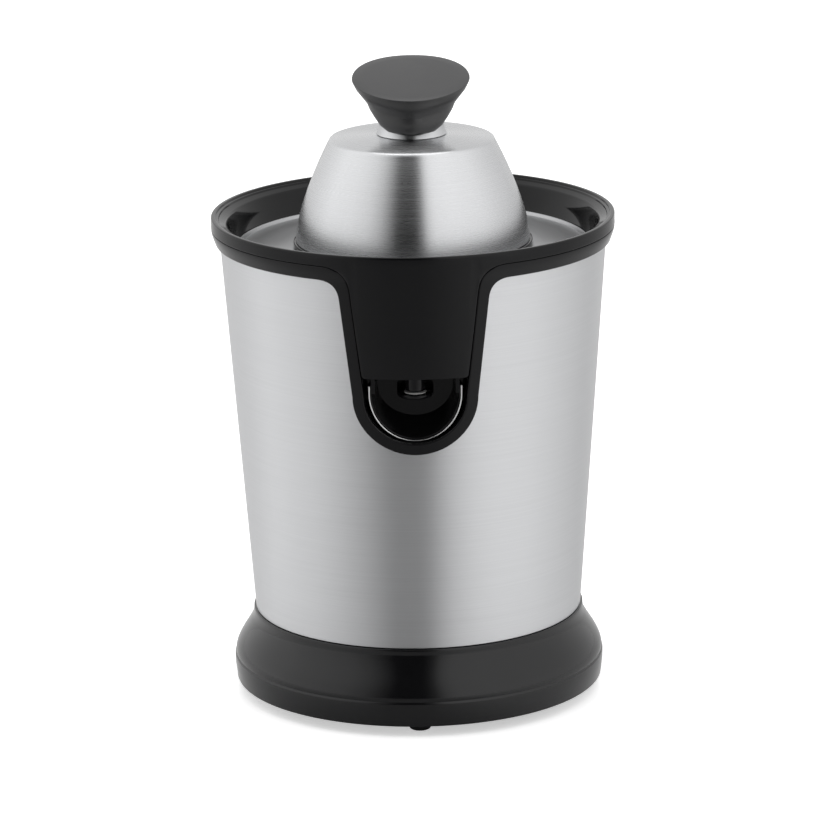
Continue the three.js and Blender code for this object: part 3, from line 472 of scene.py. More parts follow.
def bored(piece, cutter):
    """Cuts a bmesh full of closed solids out of a piece."""
    bmesh.ops.scale(cutter, vec=(MM, MM, MM), verts=cutter.verts)
    bmesh.ops.recalc_face_normals(cutter, faces=cutter.faces)
    mesh = mesh_from(cutter, "cutter")
    tool = placed("cutter", mesh)
    cut = piece.modifiers.new("cut", "BOOLEAN")
    cut.operation = "DIFFERENCE"
    cut.solver = "EXACT"
    cut.object = tool
    shape = bpy.data.meshes.new_from_object(piece.evaluated_get(bpy.context.evaluated_depsgraph_get()))
    piece.modifiers.clear()
    old = piece.data
    piece.data = shape
    shape.name = piece.name
    bpy.data.meshes.remove(old)
    bpy.data.objects.remove(tool)
    bpy.data.meshes.remove(mesh)
    smoothed(shape)


def piece_of(bm, name, slot, body, nodes, material=None):
    """Turns a bmesh into a finished piece that rides on a body and stands for CAD nodes."""
    bmesh.ops.scale(bm, vec=(MM, MM, MM), verts=bm.verts)
    mesh = mesh_from(bm, name)
    smoothed(mesh)
    piece = placed(name, mesh)
    mesh.materials.append(finish(material or slot))
    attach(piece, body)
    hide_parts(*nodes)
    return piece


def steel_at(z):
    """Outer radius of the steel body at a height."""
    foot = size("steel_foot")
    return foot + (STEEL_HEAD - foot) * (z - COLLAR_TOP) / (STEEL_TOP - COLLAR_TOP)


def smooth_as_cone(mesh):
    """Gives the outer face of the steel body the even shading of a true cone."""
    lean = math.atan2(STEEL_HEAD - size("steel_foot"), STEEL_TOP - COLLAR_TOP)
    normals = [Vector(n.vector) for n in mesh.corner_normals]
    for face in mesh.polygons:
        for corner in face.loop_indices:
            at = mesh.vertices[mesh.loops[corner].vertex_index].co / MM
            out = math.hypot(at.x, at.y)
            if abs(out - steel_at(at.z)) < 0.02 and face.normal.dot(Vector((at.x, at.y, 0))) > 0:
                level_out = Vector((at.x, at.y, 0)) / out
                normals[corner] = level_out * math.cos(lean) - Vector((0, 0, math.sin(lean)))
    mesh.normals_split_custom_set(normals)


def front_at(z):
    """Radius of the black front and of the trim ring, which flares out to the rim."""
    proud, flare = 1.5, 10.0
    step = min(max((z - TRIM_TOP + flare) / flare, 0.0), 1.0)
    return steel_at(z) + proud + (RIM_RADIUS - steel_at(TRIM_TOP) - proud) * step * step * (3 - 2 * step)


def outline(inset, corner, top, bottom=None):
    """The edge of the front frame, moved in, then on round the body at a level: (bearing, height) points."""
    centre = size("frame_centre")
    drop = centre - FRAME_LOW - inset

    def half(z):
        return size("frame_half") - inset + (z - centre) * FRAME_SPREAD

    bend = top - corner
    right = []
    if bottom is None:
        for i in range(ROUND_CUTS + 1):
            turn = math.pi / 2 * i / ROUND_CUTS
            right.append((half(centre) * math.sin(turn), centre - drop * math.cos(turn)))
        start = centre
    else:
        nook = 1.8
        flat_cuts = ROUND_CUTS - NOOK_CUTS
        for i in range(flat_cuts + 1):
            right.append(((half(bottom) - nook) * i / flat_cuts, bottom))
        for i in range(1, NOOK_CUTS + 1):
            turn = math.pi / 2 * i / NOOK_CUTS
            right.append((half(bottom) - nook + nook * math.sin(turn), bottom + nook - nook * math.cos(turn)))
        start = bottom + nook
    for i in range(1, SIDE_CUTS + 1):
        z = start + (bend - start) * i / SIDE_CUTS
        right.append((half(z), z))
    for i in range(1, CORNER_CUTS + 1):
        t = i / CORNER_CUTS
        x = (1 - t) ** 2 * half(bend) + 2 * t * (1 - t) * half(top) + t * t * (half(top) + corner)
        right.append((x, (1 - t) ** 2 * bend + (2 * t * (1 - t) + t * t) * top))
    points = [(math.asin(x / front_at(z)), z) for x, z in right]
    last = points[-1][0]
    points += [(last + (math.pi - last) * i / REAR_CUTS, top) for i in range(1, REAR_CUTS + 1)]
    return points + [(-bearing, z) for bearing, z in points[-2:0:-1]]


def round_body(points, radius):
    """(bearing, height) points put on a surface whose radius depends on the height."""
    return [Vector((radius(z) * math.sin(a), -radius(z) * math.cos(a), z)) for a, z in points]


def between(first, second, steps):
    """Rows of (bearing, height) points between two others, leaving both out."""
    rows = []
    for i in range(1, steps):
        t = i / steps
        rows.append([(a + (c - a) * t, b + (d - b) * t) for (a, b), (c, d) in zip(first, second)])
    return rows


def level(points, z):
    """The same bearings, all at one height."""
    return [(a, z) for a, _ in points]


def bezier(p0, p1, p2, p3, steps):
    """Points of a cubic curve, both ends included."""
    points = []
    for i in range(steps + 1):
        t = i / steps
        k = ((1 - t) ** 3, 3 * t * (1 - t) ** 2, 3 * t * t * (1 - t), t ** 3)
        points.append(tuple(sum(w * p[j] for w, p in zip(k, (p0, p1, p2, p3))) for j in (0, 1)))
    return points


def inwards(points, depth):
    """An outline moved to its inner side."""
    moved = []
    for i, (r, z) in enumerate(points):
        r0, z0 = points[max(i - 1, 0)]
        r1, z1 = points[min(i + 1, len(points) - 1)]
        run = math.hypot(r1 - r0, z1 - z0)
        moved.append((r - depth * (z1 - z0) / run, z - depth * (r0 - r1) / run))
    return moved


# ---------------------------------------------------------------- pieces
def make_base():
    """Black base with its collar, rounded shoulder, ridge and skirt."""
    bm = bmesh.new()
    collar = size("steel_foot") + 1.0
    shoulder = bezier((BASE_RADIUS - 0.45, 17.5), (BASE_RADIUS - 0.5, 23.0), (collar + 3.0, 28.5),
                      (collar + 0.45, 35.2), 16)
    turned(bm, [
        (BASE_RADIUS - 0.9, BASE_LOW, 0.6), (BASE_RADIUS - 0.1, 12.0), (BASE_RADIUS, 16.2, 0.35),
        (BASE_RADIUS - 0.6, 16.9, 0.15), *shoulder, (collar + 0.1, 37.6),
        (collar, COLLAR_TOP, 0.35), (collar - 16, COLLAR_TOP, 0.3), (collar - 16, COLLAR_TOP - 2.5),
        (collar - 2.8, COLLAR_TOP - 2.6), (collar - 1.9, 31.5), (collar + 4.4, 22.0),
        (84.6, 16.0), (84.0, BASE_LOW, 0.3),
    ], steps=256)
    for i in (1, 2, 3):
        x, y, _ = middle(f"base_screw_{i}")
        turned(bm, [(1.8, 9.0), (4.0, 9.0, 0.3), (4.6, COLLAR_TOP - 2.0), (1.8, COLLAR_TOP - 2.0)], 32,
               Matrix.Translation((x, y, 0)))
    shell = piece_of(bm, "base_housing", "gloss_black", "base_unit", ["base_shell"], material="base_black")
    cutter = bmesh.new()
    y, z = BASE_RADIUS, middle("cord_gland")[2]
    bmesh.ops.create_cone(cutter, cap_ends=True, segments=48, radius1=6.0, radius2=6.0, depth=20.0,
                          matrix=Matrix.Translation((0, y, z)) @ Matrix.Rotation(math.pi / 2, 4, "X"))
    bored(shell, cutter)


def make_gland():
    """Rubber gland that the mains cord would leave by."""
    bm = bmesh.new()
    _, y, _ = high("cord_gland")
    z = middle("cord_gland")[2]
    turned(bm, [(3.6, -9.0, 0.3), (5.7, -9.0, 0.4), (5.7, -1.8), (7.5, -1.7, 0.2), (7.5, -0.9, 0.5),
                (6.4, 0.0, 0.5), (3.6, 0.0, 0.6)], 64,
           Matrix.Translation((0, y, z)) @ Matrix.Rotation(-math.pi / 2, 4, "X"))
    piece_of(bm, "cable_gland", "rubber_black", "base_unit", ["cord_gland"])


def make_feet():
    """Six small rubber feet."""
    for i in range(1, 7):
        bm = bmesh.new()
        x, y, _ = middle(f"foot_{i}")
        turned(bm, [(0, 0), (4.6, 0, 0.7), (5.4, 1.6), (6.3, 3.6), (7.5, 5.3, 0.15), (3.0, 5.3), (3.0, 8.9),
                    (4.2, 8.9, 0.2), (0, 10.6)], 48, Matrix.Translation((x, y, 0)))
        piece_of(bm, f"rubber_foot_{i}", "rubber_black", "base_unit", [f"foot_{i}"])


def make_steel():
    """Tapered steel body with its U opening at the front."""
    bm = bmesh.new()
    edge = outline(FRAME_LAP, 9 + FRAME_LAP, STEEL_TOP - GAP)
    foot = level(edge, STEEL_LOW)
    lofted(bm, [
        round_body(foot, steel_at), round_body(edge, steel_at),
        round_body(edge, lambda z: steel_at(z) - STEEL_SHEET),
        round_body(foot, lambda z: steel_at(z) - STEEL_SHEET),
    ], [0.2, 0.2, 0.1, 0.1], hoop=True)
    body = piece_of(bm, "steel_body", "brushed_steel", "base_unit", ["steel_housing"])
    smooth_as_cone(body.data)


def make_trim():
    """Black trim ring that runs down round the front opening as a frame."""
    bm = bmesh.new()
    outer = outline(0, 9, STEEL_TOP)
    inner = outline(size("frame_face"), 12, TRIM_TOP)
    web = outline(2.0, 11, STEEL_TOP + 2)

    def inner_depth(z):
        step = min(max((z - STEEL_TOP + 4) / (TRIM_TOP - STEEL_TOP + 4), 0.0), 1.0)
        return front_at(z) - 3.3 - 2.7 * step

    def web_depth(z):
        return steel_at(z) - 0.75

    def lap(z):
        return steel_at(z) + GAP

    rings = [round_body(outer, front_at)]
    rings += [round_body(row, front_at) for row in between(outer, inner, 8)]
    rings += [round_body(inner, front_at), round_body(inner, inner_depth), round_body(web, web_depth),
              round_body(web, lap), round_body(outer, lap)]
    lofted(bm, rings, [0.4] + [0] * 7 + [0.45, 0.2, 0, 0, 0.15], hoop=True)
    piece_of(bm, "trim_and_frame", "gloss_black", "base_unit", ["trim_frame"])


def u_points(half, drop, centre, top, steps=28):
    """A U from its left upper end down and up to its right one: (x, height) points."""
    bottom = []
    for i in range(steps + 1):
        turn = math.pi * i / steps
        bottom.append((-half * math.cos(turn), centre - drop * math.sin(turn)))
    return [(-half, top)] + bottom + [(half, top)]


def trough(bm, fronts, wall, rounding):
    """A U-shaped wall grown from front to back. Each front is (U outline, depth of each point)."""
    rings = []
    for outer, deep in fronts:
        half = outer[-1][0]
        low_point = min(z for _, z in outer)
        centre = outer[1][1]
        inner = u_points(half - wall, centre - low_point - wall, centre, outer[0][1], len(outer) - 3)
        rings.append([Vector((x, deep(x, z), z)) for x, z in outer + inner[::-1]])
    lofted(bm, rings, rounding)


def make_pocket():
    """Black pocket behind the frame, where the spout hangs."""
    bm = bmesh.new()
    centre = size("frame_centre")
    inset = size("frame_face")
    half = size("frame_half") - inset + POCKET_WALL
    drop = centre - FRAME_LOW - inset + POCKET_WALL
    top = high("spout_pocket")[2]
    back = high("spout_pocket")[1]
    shape = u_points(half, drop, centre, top)

    def front(x, z):
        return -math.sqrt((steel_at(z) - 2.1) ** 2 - x * x)

    trough(bm, [(shape, front), (shape, lambda x, z: back - 1.0)], POCKET_WALL, [0.3])
    slab(bm, [Vector((x, back - POCKET_WALL, z)) for x, z in shape], Vector((0, POCKET_WALL, 0)))
    piece_of(bm, "pocket", "gloss_black", "base_unit", ["spout_pocket"])


def make_bowl():
    """Juice bowl whose rim and front bib are one moulding, with its outlet and the spout's ears."""
    bm = bmesh.new()
    chain = outline(size("frame_face") + GAP, 12.3, TRIM_TOP + GAP, bottom=size("bib_bottom"))
    wall = 2.4
    rings = [round_body(chain, front_at)]
    rounding = [0.45]
    for row in between(chain, level(chain, TRIM_TOP + 1.2), 3):
        rings.append(round_body(row, front_at))
        rounding.append(0)
    r = RIM_RADIUS
    s = SIEVE_RADIUS
    inside = [
        (r, TRIM_TOP + 1.2, 0), (r, RIM_TOP, 0.6), (r - 2.1, RIM_TOP, 0.35), (r - 2.3, RIM_TOP - 0.9, 0.12),
        (r - 3.5, RIM_TOP - 1.0, 0.25), (r - 3.7, RIM_TOP - 1.9, 0.12), (r - 7.3, RIM_TOP - 3.2, 0.9),
        (r - 9.0, RIM_TOP - 9.0, 0), (r - 9.9, RIM_TOP - 12.5, 0), (s + 0.5, LEDGE + 2.2, 0.4),
        (s + 0.5, LEDGE, 0), (s - 2.6, LEDGE, 0.3), (s - 4.0, FLOOR + 9, 0), (s - 4.8, FLOOR + 4, 0),
        (s - 6.3, FLOOR + 1.4, 0), (s - 9.5, FLOOR, 0), (60, FLOOR - 0.4, 0), (30, FLOOR - 0.9, 0),
        (16.0, FLOOR - 0.8, 0), (14.2, FLOOR + 0.2, 0), (13.5, FLOOR + 2.0, 0), (13.5, CHIMNEY, 0.5),
        (11.5, CHIMNEY, 0.5), (11.5, FLOOR - 3.0, 0.3), (40, FLOOR - 3.0, 0), (s - 8, FLOOR - 2.4, 0),
        (s - 3.4, FLOOR - 0.4, 0), (s - 1.8, FLOOR + 6, 0), (s - 0.4, LEDGE - 4, 0),
        (s + 2.2, LEDGE + 0.2, 0), (r - 7.7, RIM_TOP - 12, 0), (r - 6.6, RIM_TOP - 8, 0),
        (r - 6.0, TRIM_TOP + 2.4, 0),
    ]
    for radius, height, edge in inside:
        rings.append(round_body(level(chain, height), lambda _, radius=radius: radius))
        rounding.append(edge)
    rings.append(round_body(level(chain, TRIM_TOP + 1.6), lambda z: front_at(z) - wall - 1.6))
    rounding.append(0)
    rings.append(round_body(chain, lambda z: front_at(z) - wall))
    rounding.append(0.3)
    lofted(bm, rings, rounding, hoop=True)
    bowl = piece_of(bm, "bowl", "gloss_black", "bowl", ["juice_bowl"])
    cutter = bmesh.new()
    bmesh.ops.create_cone(cutter, cap_ends=True, segments=40, radius1=3.0, radius2=3.0, depth=6.0,
                          matrix=Matrix.Translation((0, NOZZLE_Y, FLOOR)))
    bored(bowl, cutter)

    bm = bmesh.new()
    turned(bm, [(3.0, NOZZLE_TIP, 0.2), (3.7, NOZZLE_TIP), (4.45, NOZZLE_TIP + 0.35),
                (4.75, NOZZLE_TIP + 1.2), (4.75, FLOOR - 1.8), (3.0, FLOOR - 1.8)], 64,
           Matrix.Translation((0, NOZZLE_Y, 0)))
    for side in (-1, 1):
        ear = [(HINGE[1] - 3, FLOOR - 1.0)]
        for i in range(13):
            turn = math.pi + math.pi * i / 12
            ear.append((HINGE[1] + 3 * math.cos(turn), HINGE[2] + 3 * math.sin(turn)))
        ear += [(HINGE[1] + 8, HINGE[2] + 4), (HINGE[1] + 8, FLOOR - 1.0)]
        face = [Vector((side * 15.6, y, z)) for y, z in ear]
        slab(bm, face, Vector((side * 2.3, 0, 0)), [0.2, 0.2])
    piece_of(bm, "bowl_outlet", "gloss_black", "bowl", ["juice_bowl"])


def make_spout():
    """Tip-out spout: scoop, cup with its seal, arms, and the bright strip along its lip."""
    bm = bmesh.new()
    half = -LIP[0]
    centre = size("frame_centre") + 1.0
    drop = centre - LIP[2]
    front = LIP[1] + 1.5
    back = high("pour_spout")[1]
    rows = []
    for i in range(5):
        t = i / 4
        shape = u_points(half - 3.3 * t * t, drop - 7.5 * t * t, centre, SCOOP_TOP)
        rows.append((shape, lambda x, z, t=t: front + (back - front) * t))
    trough(bm, rows, 1.4, [0.35, 0, 0, 0, 0.3])
    last = [Vector((x, back - 1.6, z)) for x, z in rows[-1][0]]
    slab(bm, last, Vector((0, 1.6, 0)), [0, 0.3])
    cup = Matrix.Translation((0, NOZZLE_Y + 2, 0))
    turned(bm, [(0, CUP_TOP - 2.0), (7.6, CUP_TOP - 2.0, 0.4), (8.3, CUP_TOP - 0.6), (8.3, CUP_TOP, 0.3),
                (7.3, CUP_TOP, 0.3), (6.9, CUP_TOP - 0.5), (0, CUP_TOP - 0.6)], 72, cup)
    step = [(-8.3, CUP_TOP - 2.0), (8.3, CUP_TOP - 2.0), (8.3, CUP_TOP - 0.1), (-8.3, CUP_TOP - 0.1)]
    tongue = [Vector((x, NOZZLE_Y + 4, z)) for x, z in step]
    lofted(bm, [tongue, [Vector((p.x, back - 0.8, p.z)) for p in tongue]], [0.3])
    for side in (-1, 1):
        arm = []
        for i in range(13):
            turn = math.pi * i / 12
            arm.append((HINGE[1] + 0.2 + 2.6 * math.cos(turn), HINGE[2] + 2.6 * math.sin(turn)))
        arm += [(HINGE[1] - 0.4, HINGE[2] - 2.4), (HINGE[1] - 0.3, SCOOP_TOP - 4),
                (HINGE[1] + 6, SCOOP_TOP - 4), (HINGE[1] + 4.4, HINGE[2] - 2.4)]
        face = [Vector((side * 18.35, y, z)) for y, z in arm]
        slab(bm, face, Vector((side * 1.9, 0, 0)), [0.2, 0.2])
    piece_of(bm, "spout", "gloss_black", "spout", ["pour_spout"])

    bm = bmesh.new()
    shape = u_points(half, drop, centre, SCOOP_TOP, 56)
    trough(bm, [(shape, lambda x, z: LIP[1] + 0.1), (shape, lambda x, z: LIP[1] + 1.2)], 0.65, [0.2, 0.2])
    piece_of(bm, "spout_strip", "brushed_steel", "spout", ["spout_lip"], material="polished_steel")

    bm = bmesh.new()
    top, bottom = high("spout_seal")[2], low("spout_seal")[2]
    turned(bm, [(0, bottom), (5.0, bottom, 0.15), (5.0, top, 0.15), (2.4, top), (0, top - 0.2)], 48,
           Matrix.Translation((0, NOZZLE_Y, 0)))
    piece_of(bm, "spout_pad", "silicone", "spout", ["spout_seal"])


def make_sieve():
    """Steel sieve with its rolled edge, raised seat and juice slots, and the hub under it."""
    bm = bmesh.new()
    r, sheet = SIEVE_RADIUS, SIEVE_SHEET
    upper = [(r - 1.4, SIEVE_TOP + 0.1), (r - 4, SIEVE_TOP), (r - 9, SIEVE_TOP + 0.2), (62, SEAT - 0.05),
             (60, SEAT), (50.5, SEAT), (49, SEAT - 0.3), (47, WELL + 0.3), (45.5, WELL), (17, WELL)]
    turned(bm, [(r, SIEVE_TOP - sheet, 0.25), (r, SIEVE_TOP + 1.6, 0.25), (r - 0.7, SIEVE_TOP + 1.6, 0.2),
                *upper, *[(a, b - sheet) for a, b in upper[::-1]]], steps=256)
    # Painted shade: the strainer takes the darkened steel finish.
    plate = piece_of(bm, "strainer", "brushed_steel", "filter", ["sieve"], material="shaded_sieve_steel")
    cutter = bmesh.new()
    slots = 24
    for i in range(slots):
        near, far = (24.0, 42.0) if i % 2 else (30.0, 42.0)
        turn = Matrix.Rotation(2 * math.pi * (i + 0.5) / slots, 4, "Z")
        slot = []
        for j in range(17):
            bend = math.pi / 2 + math.pi * j / 16
            slot.append((near + math.cos(bend), math.sin(bend)))
        for j in range(17):
            bend = -math.pi / 2 + math.pi * j / 16
            slot.append((far + math.cos(bend), math.sin(bend)))
        face = [turn @ Vector((x, y, WELL - 3)) for x, y in slot]
        slab(cutter, face, Vector((0, 0, 5)))
    bored(plate, cutter)

    bm = bmesh.new()
    cap = high("sieve_collar")[2]
    foot = low("sieve_collar")[2]
    turned(bm, [(8.6, CHIMNEY + 2, 0.2), (10.6, CHIMNEY + 2), (10.6, WELL - 1.2), (14.4, WELL - 1.2),
                (14.4, foot, 0.3), (16.7, foot, 0.4), (16.7, WELL + GAP), (19, WELL + GAP, 0.3),
                (19, cap, 0.6), (8.6, cap, 0.5)], 96)
    piece_of(bm, "strainer_hub", "satin_black", "filter", ["sieve_collar"])


def make_cone():
    """Ribbed reamer cone."""
    bm = bmesh.new()
    foot = 33.6
    height = CONE_TOP - CONE_LOW - 0.6
    profile = bezier((foot, 0), (foot * 0.97, height * 0.3), (foot * 0.5, height * 0.78),
                     (2.2, height * 0.985), 18)
    count = 144
    ribs = 6

    def ring(radius, z, rib):
        points = []
        for i in range(count):
            turn = 2 * math.pi * i / count
            large = max(math.cos(ribs * turn), 0) ** 2
            small = max(math.cos(ribs * turn + math.pi), 0) ** 3
            r = radius + rib * (2.0 * large + 1.1 * small - 0.55)
            points.append(Vector((r * math.cos(turn), r * math.sin(turn), CONE_LOW + 0.6 + z)))
        return points

    rings = [ring(9.3, -0.6, 0), ring(9.3, height * 0.6, 0), ring(foot * 0.55, height * 0.5, 0),
             ring(foot * 0.9, height * 0.14, 0), ring(foot - 2.2, 0, 0.3)]
    for i, (r, z) in enumerate(profile):
        share = i / (len(profile) - 1)
        rings.append(ring(r, z, min(1.0, 6 * share + 0.55) * (1 - share ** 3) * 0.95))
    rings.append(ring(0.8, height, 0))
    hub = [ring(6.6, -0.6, 0), ring(6.6, height * 0.55, 0)]
    lofted(bm, hub[::-1] + rings, [0, 0.2, 0.3, 0, 0, 0, 0.25, 0.3])
    piece_of(bm, "reamer", "satin_black", "cone", ["reamer_cone"])


def dome_side():
    """Outline of the dome's skin from its foot to the middle of its crown."""
    shoulder = size("dome_shoulder")
    foot = DOME_FOOT - 1.0
    side = bezier((foot, DOME_LOW + 2.7), (foot - 0.5, DOME_LOW + 15), (shoulder + 7, DOME_LOW + 36),
                  (shoulder + 0.2, DOME_TOP - 6.0), 22)
    corner = [(shoulder - 0.2, DOME_TOP - 5.1), (shoulder - 0.8, DOME_TOP - 4.6),
              (shoulder - 1.8, DOME_TOP - 4.3)]
    crown = [(shoulder - 6, DOME_TOP - 3.8), (shoulder - 11, DOME_TOP - 3.3), (shoulder - 17, DOME_TOP - 2.9),
             (16, DOME_TOP - 2.6), (2.2, DOME_TOP - 2.5)]
    return side + corner + crown


def make_dome():
    """Steel press dome over its black liner, with the ring round its bottom edge."""
    skin = dome_side()
    bm = bmesh.new()
    inner = inwards(skin, 0.8)
    turned(bm, skin + inner[::-1], steps=256)
    piece_of(bm, "dome", "brushed_steel", "press_dome", ["dome_shell"], material="dome_steel")

    bm = bmesh.new()
    outer = inwards(skin, 1.1)
    inner = inwards(skin, 2.9)
    foot = DOME_FOOT
    turned(bm, [(foot - 1.4, DOME_LOW, 0.4), (foot, DOME_LOW + 0.8, 0.35), (foot, DOME_LOW + 2.3, 0.35),
                (foot - 1.9, DOME_LOW + 2.4), *outer, *inner[::-1], (foot - 4, DOME_LOW, 0.3)], steps=256)
    for i in range(4):
        turn = Matrix.Rotation(math.pi / 4 + i * math.pi / 2, 4, "Z")
        fin = [(x, z) for x, z in inner if DOME_LOW + 7 < z < DOME_TOP - 12]
        shape = [(x + 0.6, z) for x, z in fin] + [(x - 2.4, z) for x, z in fin[::-1]]
        face = [turn @ Vector((x, -0.9, z)) for x, z in shape]
        slab(bm, face, turn @ Vector((0, 1.8, 0)), [0.2, 0.2])
    piece_of(bm, "dome_inner", "gloss_black", "press_dome", ["dome_liner"])


def make_knob():
    """Steel neck and the grey palm knob."""
    bm = bmesh.new()
    bottom, top = low("knob_neck")[2] - 2.7, high("knob_neck")[2]
    turned(bm, [(2.2, bottom), (16.4, bottom, 0.25), (15.7, bottom + 1.4), (15.4, bottom + 4), (15.3, top),
                (2.2, top)], 128)
    piece_of(bm, "neck", "brushed_steel", "press_dome", ["knob_neck"])

    bm = bmesh.new()
    half, depth = high("knob")[0], size("knob_depth")
    dip = math.tan(bpy.context.scene.juicer_sizes.knob_dip)
    face = high("knob")[2] - depth * dip - 1.0

    def ring(wide, deep, y, z, slope):
        points = []
        for i in range(96):
            turn = 2 * math.pi * i / 96
            c, s = math.cos(turn), math.sin(turn)
            power = 2 / (2.15 if s > 0 else 1.85)
            x = wide * math.copysign(abs(c) ** power, c)
            along = deep * math.copysign(abs(s) ** power, s)
            points.append(Vector((x, y + along, z + along * slope)))
        return points

    rings = [
        ring(1.5, 1.2, -15.5, face - 23.6, 0), ring(6, 4.6, -15.2, face - 23.3, 0),
        ring(11.2, 7.4, -13.9, face - 22.0, 0), ring(14.4, 10.0, -12.0, face - 19.6, 0.03),
        ring(17.0, 12.8, -9.4, face - 16.2, 0.08), ring(19.2, 15.4, -6.2, face - 13.0, 0.13),
        ring(20.6, 18.9, -3.4, face - 10.0, dip - 0.1), ring(22.9, 20.4, -2.6, face - 7.0, dip - 0.06),
        ring(25.7, 22.0, -1.4, face - 3.5, dip - 0.02), ring(half - 0.5, depth - 0.5, -0.1, face - 1.1, dip),
        ring(half, depth, 0, face, dip),
    ]
    for share, rise in ((0.8, 0.25), (0.55, 0.45), (0.3, 0.55), (0.1, 0.6)):
        rings.append(ring(half * share, depth * share, 0, face + rise, dip))
    lofted(bm, rings, [0] * 10 + [0.55])
    piece_of(bm, "palm_knob", "knob_grey", "press_dome", ["knob"])


def make_spring():
    """Coil spring that lifts the drive shaft again after it is pressed."""
    bottom, top = low("return_spring")[2], high("return_spring")[2]
    wire, turns, steps = 0.6, 4, 160
    radius = high("return_spring")[1] - wire
    bm = bmesh.new()
    made = bmesh.ops.create_circle(bm, cap_ends=False, segments=10, radius=wire,
                                   matrix=Matrix.Translation((radius, 0, bottom + wire))
                                   @ Matrix.Rotation(math.pi / 2, 4, "X"))["verts"]
    start = list({e for v in made for e in v.link_edges})
    rise = (top - bottom - 2 * wire) / steps
    bmesh.ops.spin(bm, geom=made + start, cent=(0, 0, 0), axis=(0, 0, 1), dvec=(0, 0, rise),
                   angle=2 * math.pi * turns, steps=steps, use_merge=False, use_normal_flip=False,
                   use_duplicate=False)
    bmesh.ops.holes_fill(bm, edges=[e for e in bm.edges if e.is_boundary], sides=0)
    bmesh.ops.recalc_face_normals(bm, faces=bm.faces)
    spring = piece_of(bm, "coil_spring", "screw_steel", "pressed_shaft", ["return_spring"])
    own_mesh(spring)


KEPT_FINISHES = {
    "satin_black": ["bottom_plate", "inner_housing", "gearbox_cover", "micro_switch"],
    "silicone": ["shaft_seal", "drip_ring"],
    "nylon": ["final_gear", "intermediate_gear", "switch_button", "drive_sleeve"],
    "iron": ["motor_stator", "motor_rotor"],
    "copper_wire": ["motor_coil_1", "motor_coil_2"],
    "cast_metal": ["gearbox_plate", "motor_bracket_upper", "motor_bracket_lower"],
    "brass": ["rotor_pinion", "shaft_bearing"],
    "screw_steel": ["intermediate_pin", "drive_shaft", "shaft_clip", "spout_pin_1", "spout_pin_2",
                    "knob_screw", "base_screw_1", "base_screw_2", "base_screw_3", "gearbox_screw_1",
                    "gearbox_screw_2", "gearbox_screw_3", "motor_screw_1", "motor_screw_2"],
}


def finish_inner_parts():
    """Gives the drive and the other carried-over parts their finishes."""
    for slot, names in KEPT_FINISHES.items():
        for name in names:
            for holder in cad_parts[name].material_slots:
                holder.material = finish(slot)


# ---------------------------------------------------------------- stage
# Brightness of the studio at each bearing from the front, from back left round to back right.
STUDIO = [(-180, 0.62), (-144, 0.7), (-100, 0.96), (-70, 0.88), (-50, 0.74), (-36, 0.5),
          (-25, 0.2), (-17, 0.01), (3, 0.0), (10, 0.16), (16, 0.66), (24, 0.9),
          (45, 0.95), (80, 0.9), (110, 0.74), (140, 0.62), (180, 0.62)]
# Painted reflection: brightness of the floor at each bearing, shown only where a glossy surface mirrors it.
MIRRORED_FLOOR = [(-180, 0.6), (-132, 0.74), (-100, 0.92), (-62, 0.76), (-38, 0.56), (-20, 0.46),
                  (-12, 0.42), (4, 0.42), (16, 0.52), (26, 0.7), (36, 0.86), (50, 0.95),
                  (70, 0.95), (99, 0.8), (127, 0.62), (180, 0.6)]


def round_ramp(tree, x, y, stops):
    """A grey that changes with the bearing of a point round the upright axis."""
    bearing = maths(tree, "ARCTAN2", x, maths(tree, "MULTIPLY", y, -1.0))
    share = maths(tree, "ADD", maths(tree, "DIVIDE", bearing, 2 * math.pi), 0.5)
    ramp = node_in(tree, "ShaderNodeValToRGB", {"Fac": share})
    marks = ramp.color_ramp.elements
    while len(marks) < len(stops):
        marks.new(0.5)
    for mark, (degrees, value) in zip(marks, stops):
        mark.position = degrees / 360 + 0.5
        mark.color = (value, value, value, 1)
    return ramp.outputs[0]


